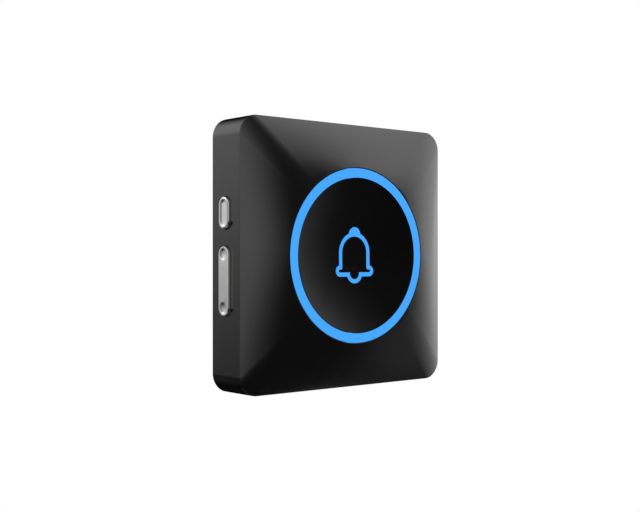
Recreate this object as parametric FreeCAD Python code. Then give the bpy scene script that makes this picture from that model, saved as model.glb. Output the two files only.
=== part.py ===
import FreeCAD, Part

import math
import os

# Plug-in doorbell chime: a square black wall unit with a dished round panel, a lit ring,
# a lit bell outline, and a select key and a volume rocker on its left side.
# Millimetres. Z is up, +Y points into the wall, the front faces -Y, and X runs to the
# right as seen from the front. The origin lies midway between the two pins, in the
# plug face that meets the socket.

V = FreeCAD.Vector

# Outer body
SIDE = 85.0
WALL_DEPTH = 14.3
BULGE = 5.8
BOSS_DEPTH = 17.5
CORNER_R = 6.2
WALL = 2.0
CROWN = 0.25
FACET_STEPS = 2
REAR_EDGE = 0.6
RIB_T = 1.2
RIB_REACH = 1.1
PART_GAP = 0.1

# Lit ring and dished panel
RING_OUTER_R = 27.9
RING_WIDTH = 3.1
RING_LAND = 0.4
RING_DEPTH = 2.0
FLANGE_T = 1.2
FLANGE_OUT = 1.3
FLANGE_IN = 0.9
DISH_DEPTH = 2.2
DISH_T = 1.8

# Bell outline, drawn about the centre of the panel
BELL_HALF = 6.55
BELL_LINE = 1.45
DOME_Z = 0.9
LOBE_X = 6.25
LOBE_Z = -4.95
LOBE_R = 1.8
CLAPPER_Z = -5.65
CLAPPER_R = 3.3
CLAPPER_LINE = 1.35
KNOB_Z = 6.6
KNOB_R = 2.5
WINDOW_R = 11.5
WINDOW_T = 1.0

# Light baffle behind the ring and the bell
BAFFLE_WALL = 1.0
BAFFLE_SEAT = 0.6
SPOKES = 4
SPOKE_T = 1.0
LED_COUNT = 12
LED_W = 2.0
LED_H = 1.2
LED_T = 0.8
ICON_LED_PITCH = 6.0

# Side keys and their switches
KEY_WIDTH = 5.0
KEY_PROUD = 1.0
KEY_SIDE_GAP = 0.2
KEY_END_GAP = 0.25
KEY_EDGE = 0.3
SELECT_LENGTH = 9.7
SELECT_Z = 12.9
KEY_TRAVEL = 0.4
ROCKER_LENGTH = 21.0
ROCKER_Z = -7.8
PRESS_OFFSET = 8.2
SELECT_RIM = 0.35
SELECT_SLOPE = 0.75
SELECT_DISH = 0.55
DIMPLE_R = 2.25
DIMPLE_FLOOR_R = 1.3
DIMPLE_DEPTH = 0.45
KEY_WALL = 0.9
KEY_SKIN = 1.2
SELECT_FLANGE = 0.8
SELECT_FLANGE_T = 1.0
SELECT_FLANGE_GAP = 0.15
KEY_POST_R = 1.2
PIVOT_INSET = 1.6
TRUNNION_R = 1.0
TRUNNION_GAP = 0.05
HUB_R = 1.4
CHEEK_T = 1.2
ROCKER_INSIDE = 0.6
ROCKER_WEB = 2.0
ROCKER_END_GAP = 0.1
SWITCH_X = 3.6
SWITCH_Y = 6.4
SWITCH_Z = 6.0
SWITCH_AXIS = 3.35
SWITCH_INSET = 4.1
PLUNGER_R = 1.75
PLUNGER_OUT = 2.0
PLUNGER_IN = 0.8
PLUNGER_GAP = 0.08
PRESS_GAP = 0.1

# Circuit boards and what stands on them
BOARD_T = 1.2
BOARD_MARGIN = 3.6
BOARD_NOTCH = 7.0
BOARD_CORNER = 1.0
POST_OFFSET = 17.5
POST_R = 2.5
SCREW_PILOT_R = 0.8
SCREW_R = 0.75
SCREW_HEAD_R = 2.0
SCREW_HEAD_T = 1.1
SCREW_LENGTH = 5.0
POWER_STANDOFF = 1.8
POWER_SIDE_MARGIN = 12.5
POWER_TOP_MARGIN = 9.5
POWER_SPEAKER_GAP = 4.0
CAPACITOR_R = 2.4
CAPACITOR_LENGTH = 11.0
ANTENNA_W = 1.6
ANTENNA_T = 0.4
ANTENNA_LIFT = 3.6
ANTENNA_GAP = 2.6
LEAD_W = 2.2
LEAD_T = 1.0
LEAD_BEND = 2.6
LEAD_LIFT = 1.2
LEAD_TAG_GAP = 0.1

# Rear cover, plug boss and pins
COVER_T = 2.0
BOSS_WIDTH = 35.3
BOSS_HEIGHT = 13.7
BOSS_CORNER = 4.6
BOSS_FLAT = BOSS_WIDTH - 2 * BOSS_CORNER
BOSS_WALL = 2.0
BOSS_FACE_T = 2.5
BOSS_EDGE = 0.8
CASE_SCREW_INSET = 8.0
CASE_BOSS_R = 3.0
CASE_SCREW_R = 0.95
CASE_PILOT_R = 1.0
CASE_PILOT_DEPTH = 8.0
CASE_HEAD_R = 2.2
CASE_HEAD_T = 1.3
CASE_HEAD_GAP = 0.3
CASE_SCREW_LENGTH = 8.0
PIN_PITCH = 19.0
PIN_LENGTH = 19.0
PIN_R = 2.0
PIN_TIP = 0.8
PIN_TAIL_OUT = 0.7
PIN_CORE_R = 1.5
PIN_TAIL_R = 1.1
PIN_COLLAR_R = 2.8
PIN_COLLAR_T = 1.5
SLEEVE_R = 1.8
SLEEVE_LENGTH = 10.0
HOLE_GAP = 0.2
SOUND_SLOT = 1.5
SOUND_PITCH = 3.0
SOUND_SLOTS = 7
SOUND_FIELD_R = 10.5
SOUND_CHANNEL_HALF = 13.0
SOUND_CHANNEL_DEPTH = 0.8

# Loudspeaker
SPEAKER_R = 14.0
SPEAKER_EDGE_GAP = 1.5
SPEAKER_DEPTH = 5.4
GASKET_T = 0.8
GASKET_W = 2.0
BASKET_T = 0.5
BASKET_WINDOWS = 4
BASKET_WINDOW_W = 4.0
BASKET_LAND = 1.2
MAGNET_R = 4.9
MAGNET_T = 1.5
YOKE_R = 7.0
YOKE_T = 0.8
YOKE_WALL = 0.9
POLE_T = 0.8
COIL_R = 5.25
COIL_T = 0.3
COIL_LENGTH = 2.0
CONE_R = 10.3
CONE_T = 0.25
SURROUND_RISE = 0.4
SPEAKER_POST_R = 1.7
SPEAKER_POST_GAP = 0.2
SPEAKER_HEAD_R = 2.5
SPEAKER_SCREW_LENGTH = 2.6
SPEAKER_POST_TURNS = (30, 210)

# Pieces on the boards
CHIP_X = 5.0
CHIP_Z = 4.0
CHIP_T = 1.6
CHIP_FLOOR_GAP = 0.1
LEG_W = 0.4
LEG_OUT = 0.6
PAD_T = 0.2
PROCESSOR_SIDE = 7.0
PROCESSOR_T = 1.2
RECTIFIER_X = 4.7
RECTIFIER_T = 2.4
RADIO_X = 15.0
RADIO_Z = 12.0
RADIO_PLINTH_T = 0.6
RADIO_CAN_EDGE = 1.0
RADIO_CAN_T = 1.8
CRYSTAL_X = 5.0
CRYSTAL_Z = 3.0
CRYSTAL_T = 0.9
CORE_LIFT = 0.6
CORE_RIM = 1.4
CORE_LEG_HALF = 1.3
REEL_EDGE = 1.6
REEL_FOOT_W = 1.2
REEL_FOOT_IN = 1.8
REEL_FOOT_GAP = 0.2
FUSE_R = 1.4
FUSE_LENGTH = 8.0
FUSE_LIFT = 0.4
FUSE_LEG_OUT = 1.5
FUSE_WIRE_HALF = 0.3

# Levels along Y and places that follow from the sizes above
HALF = SIDE / 2
Y_BACK = -BOSS_DEPTH
Y_CREASE = Y_BACK - WALL_DEPTH
Y_RING = Y_CREASE - BULGE
Y_KEYS = (Y_BACK + Y_CREASE) / 2
Y_COVER_IN = Y_BACK - COVER_T
Y_FLANGE = Y_RING + RING_DEPTH
Y_FLANGE_BACK = Y_FLANGE + FLANGE_T
Y_BOARD_BACK = Y_KEYS - SWITCH_AXIS
Y_BOARD_FRONT = Y_BOARD_BACK - BOARD_T
Y_POWER_BACK = Y_COVER_IN - POWER_STANDOFF
Y_POWER_FRONT = Y_POWER_BACK - BOARD_T
X_FACE = -HALF - KEY_PROUD
X_WALL_IN = -HALF + WALL
X_SWITCH = X_WALL_IN + SWITCH_INSET
X_PLUNGER = X_SWITCH - PLUNGER_OUT
X_PIVOT = X_WALL_IN + PIVOT_INSET
BOARD_HALF = HALF - WALL - BOARD_MARGIN
CASE_SCREW_AT = HALF - CASE_SCREW_INSET
BOARD_POST_AT = HALF - POST_OFFSET
SPEAKER_Z = -(HALF - WALL - SPEAKER_R - SPEAKER_EDGE_GAP)
POWER_HALF = HALF - POWER_SIDE_MARGIN
POWER_TOP = HALF - POWER_TOP_MARGIN
POWER_BOTTOM = SPEAKER_Z + SPEAKER_R + POWER_SPEAKER_GAP
RING_INNER_R = RING_OUTER_R - RING_WIDTH
DISH_R = RING_INNER_R - PART_GAP
DISH_SPHERE = (DISH_R ** 2 + DISH_DEPTH ** 2) / (2 * DISH_DEPTH)
Y_DISH = Y_RING + DISH_DEPTH
RING_MID_R = RING_OUTER_R - RING_WIDTH / 2
UP_Z = ROCKER_Z + PRESS_OFFSET
DOWN_Z = ROCKER_Z - PRESS_OFFSET
CORNERS = [(1, 1), (-1, 1), (-1, -1), (1, -1)]
SCREWED_CORNERS = CORNERS[::2]
BAFFLE_OUT_R = RING_INNER_R - FLANGE_IN + BAFFLE_SEAT
BAFFLE_IN_R = BAFFLE_OUT_R - BAFFLE_WALL


def box(x0, x1, y0, y1, z0, z1):
    """Block between two corners."""
    return Part.makeBox(x1 - x0, y1 - y0, z1 - z0, V(x0, y0, z0))


def rod_y(radius, y0, y1, x=0.0, z=0.0):
    """Cylinder along Y."""
    return Part.makeCylinder(radius, y1 - y0, V(x, y0, z), V(0, 1, 0))


def rod_x(radius, x0, x1, y, z):
    """Cylinder along X."""
    return Part.makeCylinder(radius, x1 - x0, V(x0, y, z), V(1, 0, 0))


def tube_y(outer, inner, y0, y1, x=0.0, z=0.0):
    """Tube along Y."""
    return rod_y(outer, y0, y1, x, z).cut(rod_y(inner, y0, y1, x, z))


def line(start, end):
    """Straight edge."""
    return Part.LineSegment(start, end).toShape()


def arc(start, middle, end):
    """Round edge through three points."""
    return Part.Arc(start, middle, end).toShape()


def join(first, *others):
    """One solid from pieces that meet, with no seams left between flush faces."""
    return first.fuse(list(others)).removeSplitter()


def rounded_wire(half_x, half_z, radius, y, x=0.0, z=0.0):
    """Rounded rectangle square to Y, as four arcs and four lines."""
    edges = []
    for index, (side_x, side_z) in enumerate(CORNERS):
        centre = V(x + side_x * (half_x - radius), y, z + side_z * (half_z - radius))
        turns = [math.radians(90 * index + turn) for turn in (0, 45, 90)]
        start, middle, end = [
            centre + V(radius * math.cos(t), 0, radius * math.sin(t)) for t in turns
        ]
        next_x, next_z = CORNERS[(index + 1) % 4]
        turn = turns[2]
        onward = V(x + next_x * (half_x - radius), y, z + next_z * (half_z - radius))
        onward = onward + V(radius * math.cos(turn), 0, radius * math.sin(turn))
        edges += [arc(start, middle, end), line(end, onward)]
    return Part.Wire(edges)


def rounded_block(half_x, half_z, radius, y0, y1, x=0.0, z=0.0):
    """Rounded rectangle extruded along Y."""
    return Part.Face(rounded_wire(half_x, half_z, radius, y0, x, z)).extrude(V(0, y1 - y0, 0))


def oblong_wire(width, length, x, y, z):
    """Upright oblong with round ends, square to X."""
    radius = width / 2
    top = z + length / 2 - radius
    bottom = z - length / 2 + radius
    return Part.Wire([
        arc(V(x, y + radius, top), V(x, y, top + radius), V(x, y - radius, top)),
        line(V(x, y - radius, top), V(x, y - radius, bottom)),
        arc(V(x, y - radius, bottom), V(x, y, bottom - radius), V(x, y + radius, bottom)),
        line(V(x, y + radius, bottom), V(x, y + radius, top)),
    ])


def oblong_block(width, length, x0, x1, y, z):
    """Oblong extruded along X."""
    return Part.Face(oblong_wire(width, length, x0, y, z)).extrude(V(x1 - x0, 0, 0))


def turned(points, y_axis_x=0.0, y_axis_z=0.0):
    """Solid of revolution about a line along Y, from (radius, y) corners."""
    corners = [V(y_axis_x + r, y, y_axis_z) for r, y in points]
    edges = [line(a, b) for a, b in zip(corners, corners[1:] + corners[:1])]
    face = Part.Face(Part.Wire(edges))
    return face.revolve(V(y_axis_x, 0, y_axis_z), V(0, 1, 0), 360)


def edges_on(shape, level, reach):
    """Edges that lie in the plane y = level, all of them beyond reach from the Y axis."""
    found = []
    for edge in shape.Edges:
        bounds = edge.BoundBox
        flat = abs(bounds.YMin - level) < 1e-4 and abs(bounds.YMax - level) < 1e-4
        middle = edge.valueAt((edge.FirstParameter + edge.LastParameter) / 2)
        if flat and max(abs(middle.x), abs(middle.z)) > reach:
            found.append(edge)
    return found


def faceted_cap(half, corner, end_half, end_corner, y_start, y_end, crown):
    """Front form whose level lines pass from a rounded square to a circle."""
    wires = []
    for step in range(FACET_STEPS + 1):
        share = step / FACET_STEPS
        rise = share + crown * share * (1 - share)
        wires.append(rounded_wire(
            half + share * (end_half - half),
            half + share * (end_half - half),
            corner + share * (end_corner - corner),
            y_start + rise * (y_end - y_start),
        ))
    return Part.makeLoft(wires, True, False)


def outer_form():
    """Outside of the body, from the rear edge to the ring plane."""
    land_half = RING_OUTER_R + RING_LAND
    wall = rounded_block(HALF, HALF, CORNER_R, Y_CREASE, Y_BACK)
    cap = faceted_cap(HALF, CORNER_R, land_half, land_half - 0.7, Y_CREASE, Y_RING, CROWN)
    form = join(wall, cap)
    return form.makeChamfer(REAR_EDGE, edges_on(form, Y_BACK, HALF / 2))


def inner_form():
    """Hollow of the body: straight walls, four flat slopes, and a cone through the corners."""
    half = HALF - WALL
    corner = CORNER_R - WALL
    end_half = RING_OUTER_R + FLANGE_OUT + RING_LAND
    slope = BULGE / (HALF - RING_OUTER_R)
    y_start = Y_CREASE + WALL * math.hypot(1, slope) - slope * WALL
    straight = rounded_block(half, half, corner, y_start, Y_BACK + WALL)
    slopes = Part.makeWedge(
        -end_half, Y_FLANGE, -end_half, -half, -half, end_half, y_start, end_half, half, half,
    )
    reach = (half - corner) * math.sqrt(2) + corner
    end_reach = end_half + 2 * RING_LAND
    cone = Part.makeCone(end_reach, reach, y_start - Y_FLANGE, V(0, Y_FLANGE, 0), V(0, 1, 0))
    return join(straight, slopes.common(cone))


def case_bosses():
    """Four screw bosses in the corners, each tied to the corner by a rib."""
    pieces = []
    for side_x, side_z in CORNERS:
        x, z = side_x * CASE_SCREW_AT, side_z * CASE_SCREW_AT
        boss = rod_y(CASE_BOSS_R, Y_RING, Y_COVER_IN, x, z)
        rib = box(-RIB_T / 2, RIB_T / 2, Y_RING, Y_COVER_IN, 0, CASE_SCREW_INSET)
        rib.rotate(V(0, 0, 0), V(0, 1, 0), math.degrees(math.atan2(side_x, side_z)))
        rib.translate(V(x, 0, z))
        pieces += [boss, rib]
    return pieces


def board_posts():
    """Four posts behind the front face that carry the main board."""
    return [
        rod_y(POST_R, Y_RING, Y_BOARD_FRONT, sx * BOARD_POST_AT, sz * BOARD_POST_AT)
        for sx, sz in CORNERS
    ]


def seat_ribs():
    """Upright ribs on the top, bottom and right walls, on which the rear cover seats."""
    ribs = []
    inner, outer = HALF - WALL - RIB_REACH, HALF
    for along in (-HALF / 2, HALF / 2):
        low, high = along - RIB_T / 2, along + RIB_T / 2
        ribs.append(box(low, high, Y_CREASE, Y_COVER_IN, inner, outer))
        ribs.append(box(low, high, Y_CREASE, Y_COVER_IN, -outer, -inner))
        ribs.append(box(inner, outer, Y_CREASE, Y_COVER_IN, low, high))
    return ribs


def rocker_cheeks():
    """Two bearing cheeks on the left wall that hold the rocker's trunnions."""
    cheeks = []
    reach = KEY_WIDTH / 2 + KEY_SIDE_GAP
    for y0 in (Y_KEYS - reach - CHEEK_T, Y_KEYS + reach):
        y1 = y0 + CHEEK_T
        web = box(X_WALL_IN - 0.5, X_PIVOT, y0, y1, ROCKER_Z - HUB_R, ROCKER_Z + HUB_R)
        nose = rod_y(HUB_R, y0, y1, X_PIVOT, ROCKER_Z)
        cheeks += [web, nose]
    return cheeks


def front_shell():
    """Front shell: side walls, faceted front, key slots, bosses, posts and bearings."""
    outer = outer_form()
    hollow = inner_form()
    inside = join(*case_bosses(), *board_posts(), *seat_ribs()).common(hollow)
    shell = outer.cut(hollow).fuse([inside] + rocker_cheeks())
    cuts = [rod_y(RING_OUTER_R + PART_GAP, Y_RING - 1, Y_FLANGE)]
    cuts.append(rod_y(RING_OUTER_R + FLANGE_OUT + PART_GAP, Y_FLANGE, Y_FLANGE_BACK))
    for length, z in ((SELECT_LENGTH, SELECT_Z), (ROCKER_LENGTH, ROCKER_Z)):
        width = KEY_WIDTH + 2 * KEY_SIDE_GAP
        cuts.append(oblong_block(width, length + 2 * KEY_END_GAP, -HALF - 1, X_WALL_IN, Y_KEYS, z))
    bearing_r = TRUNNION_R + TRUNNION_GAP
    cuts.append(rod_y(bearing_r, Y_CREASE, Y_COVER_IN, X_PIVOT, ROCKER_Z))
    for sx, sz in CORNERS:
        x, z = sx * CASE_SCREW_AT, sz * CASE_SCREW_AT
        cuts.append(rod_y(CASE_PILOT_R, Y_COVER_IN - CASE_PILOT_DEPTH, Y_COVER_IN, x, z))
    for sx, sz in SCREWED_CORNERS:
        x, z = sx * BOARD_POST_AT, sz * BOARD_POST_AT
        cuts.append(rod_y(SCREW_PILOT_R, Y_BOARD_FRONT - SCREW_LENGTH, Y_BOARD_FRONT, x, z))
    cuts.append(sound_channel(-HALF + WALL))
    return shell.cut(cuts)


def sound_channel(z_end):
    """Shallow channel across the back, from below the bottom edge up to a given height."""
    half = SOUND_CHANNEL_HALF
    return box(-half, half, Y_BACK - SOUND_CHANNEL_DEPTH, Y_BACK + 1, -HALF - 1, z_end)


def light_ring():
    """Lit ring: its face, and a flange that seats behind the shell and carries the panel."""
    inner_lip = RING_INNER_R - FLANGE_IN
    outer_lip = RING_OUTER_R + FLANGE_OUT
    return turned([
        (RING_INNER_R, Y_RING), (RING_OUTER_R, Y_RING),
        (RING_OUTER_R, Y_FLANGE), (outer_lip, Y_FLANGE),
        (outer_lip, Y_FLANGE_BACK), (inner_lip, Y_FLANGE_BACK),
        (inner_lip, Y_FLANGE), (RING_INNER_R, Y_FLANGE),
    ])


def dish_blank():
    """Panel before the bell is cut through it: hollow ball front, stepped rim and flat back."""
    rim = rod_y(DISH_R, Y_RING, Y_FLANGE)
    blank = rim.fuse(rod_y(BAFFLE_IN_R - PART_GAP, Y_FLANGE, Y_DISH + DISH_T))
    return blank.cut(Part.makeSphere(DISH_SPHERE, V(0, Y_DISH - DISH_SPHERE, 0)))


def bell_outer_wire(y):
    """Outside of the bell: dome, walls, lobes and clapper, without its knob."""
    lobe_top = LOBE_Z + math.sqrt(LOBE_R ** 2 - (BELL_HALF - LOBE_X) ** 2)
    base = LOBE_Z - LOBE_R
    clap_x = math.sqrt(CLAPPER_R ** 2 - (CLAPPER_Z - base) ** 2)
    edges = [arc(V(BELL_HALF, y, DOME_Z), V(0, y, DOME_Z + BELL_HALF), V(-BELL_HALF, y, DOME_Z))]
    edges.append(line(V(-BELL_HALF, y, DOME_Z), V(-BELL_HALF, y, lobe_top)))
    lobe_tip = V(-LOBE_X - LOBE_R, y, LOBE_Z)
    edges.append(arc(V(-BELL_HALF, y, lobe_top), lobe_tip, V(-LOBE_X, y, base)))
    edges.append(line(V(-LOBE_X, y, base), V(-clap_x, y, base)))
    edges.append(arc(V(-clap_x, y, base), V(0, y, CLAPPER_Z - CLAPPER_R), V(clap_x, y, base)))
    edges.append(line(V(clap_x, y, base), V(LOBE_X, y, base)))
    lobe_tip = V(LOBE_X + LOBE_R, y, LOBE_Z)
    edges.append(arc(V(LOBE_X, y, base), lobe_tip, V(BELL_HALF, y, lobe_top)))
    edges.append(line(V(BELL_HALF, y, lobe_top), V(BELL_HALF, y, DOME_Z)))
    return Part.Wire(edges)


def bell_inner_wire(y):
    """Inside of the bell, one line width in from the outside."""
    half = BELL_HALF - BELL_LINE
    tip_r = LOBE_R - CLAPPER_LINE
    base = LOBE_Z - tip_r
    shelf = LOBE_Z + tip_r
    flare = LOBE_X - half - tip_r
    clap_r = CLAPPER_R - CLAPPER_LINE
    clap_x = math.sqrt(clap_r ** 2 - (CLAPPER_Z - base) ** 2)
    bend = flare * (1 - math.sqrt(0.5))
    edges = [arc(V(half, y, DOME_Z), V(0, y, DOME_Z + half), V(-half, y, DOME_Z))]
    edges.append(line(V(-half, y, DOME_Z), V(-half, y, shelf + flare)))
    edges.append(arc(
        V(-half, y, shelf + flare),
        V(-half - bend, y, shelf + bend),
        V(-half - flare, y, shelf),
    ))
    edges.append(line(V(-half - flare, y, shelf), V(-LOBE_X, y, shelf)))
    edges.append(arc(V(-LOBE_X, y, shelf), V(-LOBE_X - tip_r, y, LOBE_Z), V(-LOBE_X, y, base)))
    edges.append(line(V(-LOBE_X, y, base), V(-clap_x, y, base)))
    edges.append(arc(V(-clap_x, y, base), V(0, y, CLAPPER_Z - clap_r), V(clap_x, y, base)))
    edges.append(line(V(clap_x, y, base), V(LOBE_X, y, base)))
    edges.append(arc(V(LOBE_X, y, base), V(LOBE_X + tip_r, y, LOBE_Z), V(LOBE_X, y, shelf)))
    edges.append(line(V(LOBE_X, y, shelf), V(half + flare, y, shelf)))
    edges.append(arc(
        V(half + flare, y, shelf),
        V(half + bend, y, shelf + bend),
        V(half, y, shelf + flare),
    ))
    edges.append(line(V(half, y, shelf + flare), V(half, y, DOME_Z)))
    return Part.Wire(edges)


def bell_bars():
    """Bell outline with its knob, and the bell's inside, as two bars through the panel."""
    y0, y1 = Y_RING - 1, Y_DISH + DISH_T + 1
    inside = Part.Face(bell_inner_wire(y0)).extrude(V(0, y1 - y0, 0))
    whole = Part.Face(bell_outer_wire(y0)).extrude(V(0, y1 - y0, 0))
    knob = rod_y(KNOB_R, y0, y1, 0, KNOB_Z)
    return join(whole, knob).cut(inside), inside


def dish_panel():
    """Dished panel with the bell cut right through it."""
    outline, inside = bell_bars()
    return dish_blank().cut([outline, inside])


def bell_island():
    """Inside of the bell, a piece of the panel's own skin."""
    return dish_blank().common(bell_bars()[1])


def bell_window():
    """Light guide: the raised bell outline and the plate behind the panel that carries it."""
    outline = dish_blank().common(bell_bars()[0])
    plate = rod_y(WINDOW_R, Y_DISH + DISH_T, Y_DISH + DISH_T + WINDOW_T)
    return join(outline, plate)


def light_baffle():
    """Black moulding that keeps ring light and bell light apart: two walls and their spokes."""
    rear = Y_BOARD_FRONT
    hub_out = WINDOW_R + BAFFLE_WALL
    rim = tube_y(BAFFLE_OUT_R, BAFFLE_IN_R, Y_FLANGE_BACK, rear)
    hub = tube_y(hub_out, WINDOW_R, Y_DISH + DISH_T, rear)
    spokes = []
    for index in range(SPOKES):
        half = SPOKE_T / 2
        front = Y_DISH + DISH_T + WINDOW_T
        spoke = box(-half, half, front, rear, hub_out - half, BAFFLE_IN_R + half)
        spoke.rotate(V(0, 0, 0), V(0, 1, 0), (index + 0.25) * 360 / SPOKES)
        spokes.append(spoke)
    return join(rim, hub, *spokes)


def main_board():
    """Main board, notched round the corner bosses."""
    board = rounded_block(BOARD_HALF, BOARD_HALF, BOARD_CORNER, Y_BOARD_FRONT, Y_BOARD_BACK)
    cuts = []
    for sx, sz in CORNERS:
        edge = BOARD_HALF - BOARD_NOTCH
        x0, x1 = sorted((sx * edge, sx * (BOARD_HALF + 1)))
        z0, z1 = sorted((sz * edge, sz * (BOARD_HALF + 1)))
        cuts.append(box(x0, x1, Y_BOARD_FRONT, Y_BOARD_BACK, z0, z1))
    for sx, sz in SCREWED_CORNERS:
        x, z = sx * BOARD_POST_AT, sz * BOARD_POST_AT
        cuts.append(rod_y(SCREW_R + HOLE_GAP, Y_BOARD_FRONT, Y_BOARD_BACK, x, z))
    return board.cut(cuts)


def screw_y(radius, head_r, head_t, y_seat, length, x, z, forward):
    """Pan-head screw along Y: forward is -1 when its tip points to the front."""
    y_tip = y_seat + forward * length
    y_top = y_seat - forward * head_t
    shank = rod_y(radius, min(y_seat, y_tip), max(y_seat, y_tip), x, z)
    head = rod_y(head_r, min(y_seat, y_top), max(y_seat, y_top), x, z)
    return join(head, shank)


def main_board_screws():
    """Two screws that clamp the main board, the baffle and the ring to the shell."""
    length = BOARD_T + SCREW_LENGTH - 0.5
    return [
        screw_y(SCREW_R, SCREW_HEAD_R, SCREW_HEAD_T, Y_BOARD_BACK, length,
                sx * BOARD_POST_AT, sz * BOARD_POST_AT, -1)
        for sx, sz in SCREWED_CORNERS
    ]


def ring_leds():
    """Lamps under the ring's leg, evenly spaced."""
    lamps = []
    for index in range(LED_COUNT):
        lamp = box(-LED_W / 2, LED_W / 2, Y_BOARD_FRONT - LED_T, Y_BOARD_FRONT,
                   RING_MID_R - LED_H / 2, RING_MID_R + LED_H / 2)
        lamp.rotate(V(0, 0, 0), V(0, 1, 0), index * 360 / LED_COUNT)
        lamps.append(lamp)
    return lamps


def icon_leds():
    """Three lamps behind the bell."""
    return [
        box(x - LED_W / 2, x + LED_W / 2, Y_BOARD_FRONT - LED_T, Y_BOARD_FRONT, -LED_H / 2, LED_H / 2)
        for x in (-ICON_LED_PITCH, 0, ICON_LED_PITCH)
    ]


def select_button():
    """Select key: dished oblong cap, inner flange and the post that works its switch."""
    x_flange = X_WALL_IN + SELECT_FLANGE_GAP
    cap = oblong_block(KEY_WIDTH, SELECT_LENGTH, X_FACE, x_flange, Y_KEYS, SELECT_Z)
    rim = [e for e in cap.Edges if abs(e.CenterOfMass.x - X_FACE) < 1e-6]
    cap = cap.makeChamfer(KEY_EDGE, rim)
    mouth_w = KEY_WIDTH - 2 * SELECT_RIM
    mouth_l = SELECT_LENGTH - 2 * SELECT_RIM
    fall = 2 * SELECT_SLOPE
    dish = Part.makeLoft([
        oblong_wire(mouth_w, mouth_l, X_FACE - 0.01, Y_KEYS, SELECT_Z),
        oblong_wire(mouth_w - fall, mouth_l - fall, X_FACE + SELECT_DISH, Y_KEYS, SELECT_Z),
    ], True, True)
    flange = oblong_block(
        KEY_WIDTH + 2 * SELECT_FLANGE, SELECT_LENGTH + 2 * SELECT_FLANGE,
        x_flange, x_flange + SELECT_FLANGE_T, Y_KEYS, SELECT_Z,
    )
    post = rod_x(KEY_POST_R, x_flange, X_PLUNGER - PRESS_GAP, Y_KEYS, SELECT_Z)
    return join(cap.cut(dish), flange, post)


def volume_rocker():
    """Volume rocker: oblong cap with two dimples, hub, trunnions and two press posts."""
    x_inner = X_WALL_IN + ROCKER_INSIDE
    cap = oblong_block(KEY_WIDTH, ROCKER_LENGTH, X_FACE, x_inner, Y_KEYS, ROCKER_Z)
    rim = [e for e in cap.Edges if abs(e.CenterOfMass.x - X_FACE) < 1e-6]
    cap = cap.makeChamfer(KEY_EDGE, rim)
    pocket = oblong_block(
        KEY_WIDTH - 2 * KEY_WALL, ROCKER_LENGTH - 2 * KEY_WALL,
        X_FACE + KEY_SKIN, x_inner, Y_KEYS, ROCKER_Z,
    )
    cuts = [pocket]
    posts = []
    for z in (UP_Z, DOWN_Z):
        mouth = V(X_FACE, Y_KEYS, z)
        cuts.append(Part.makeCone(DIMPLE_R, DIMPLE_FLOOR_R, DIMPLE_DEPTH, mouth, V(1, 0, 0)))
        posts.append(rod_x(KEY_POST_R, X_FACE + KEY_SKIN, X_PLUNGER - PRESS_GAP, Y_KEYS, z))
    inner_half = KEY_WIDTH / 2 - ROCKER_END_GAP
    outer_half = KEY_WIDTH / 2 + KEY_SIDE_GAP + CHEEK_T - ROCKER_END_GAP
    web = box(X_FACE + KEY_SKIN, X_PIVOT, Y_KEYS - inner_half, Y_KEYS + inner_half,
              ROCKER_Z - ROCKER_WEB / 2, ROCKER_Z + ROCKER_WEB / 2)
    hub = rod_y(HUB_R, Y_KEYS - inner_half, Y_KEYS + inner_half, X_PIVOT, ROCKER_Z)
    axle = rod_y(TRUNNION_R, Y_KEYS - outer_half, Y_KEYS + outer_half, X_PIVOT, ROCKER_Z)
    return join(cap.cut(cuts), web, hub, axle, *posts)


def switch_body(z):
    """Side-entry push switch on the main board, with its plunger bore and solder lugs."""
    half = SWITCH_Z / 2
    body = box(X_SWITCH, X_SWITCH + SWITCH_X, Y_BOARD_BACK, Y_BOARD_BACK + SWITCH_Y, z - half, z + half)
    upright = [e for e in body.Edges if abs(e.Vertexes[0].Point.y - e.Vertexes[-1].Point.y) > 1]
    body = body.makeChamfer(0.4, upright)
    lugs = [
        box(X_SWITCH + 1.0, X_SWITCH + 2.6, Y_BOARD_BACK, Y_BOARD_BACK + 2.2, z0, z0 + 0.5)
        for z0 in (z - half - 0.4, z + half - 0.1)
    ]
    x_floor = X_SWITCH + PLUNGER_IN + KEY_TRAVEL + PRESS_GAP
    bore = rod_x(PLUNGER_R + PLUNGER_GAP, X_SWITCH, x_floor, Y_KEYS, z)
    return join(body, *lugs).cut(bore)


def switch_plunger(z):
    """Round plunger of a push switch."""
    return rod_x(PLUNGER_R, X_PLUNGER, X_SWITCH + PLUNGER_IN, Y_KEYS, z)


def chip(x, z, size_x, size_z, height, y_seat, outward, legs=0):
    """Moulded chip on a board face, outward +1 or -1 along Y, with legs along its two long sides."""
    y0, y1 = sorted((y_seat + outward * CHIP_FLOOR_GAP, y_seat + outward * height))
    body = box(x - size_x / 2, x + size_x / 2, y0, y1, z - size_z / 2, z + size_z / 2)
    pieces = []
    for index in range(legs):
        at = x - size_x / 2 + (index + 0.5) * size_x / legs
        foot0, foot1 = sorted((y_seat, y_seat + outward * height / 2))
        reach = size_z / 2 + LEG_OUT
        pieces.append(box(at - LEG_W / 2, at + LEG_W / 2, foot0, foot1, z - reach, z + reach))
    if not legs:
        pad0, pad1 = sorted((y_seat, y_seat + outward * PAD_T))
        pieces.append(box(x - size_x / 3, x + size_x / 3, pad0, pad1, z - size_z / 3, z + size_z / 3))
    return join(body, *pieces)


def microcontroller():
    """Square chip with legs on two sides, in the middle of the main board."""
    return chip(0, HALF * 0.2, PROCESSOR_SIDE, PROCESSOR_SIDE, PROCESSOR_T, Y_BOARD_BACK, 1, 8)


def melody_memory():
    """Eight-leg chip that stores the melodies."""
    return chip(-HALF * 0.3, HALF * 0.05, CHIP_X, CHIP_Z, CHIP_T, Y_BOARD_BACK, 1, 4)


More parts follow.
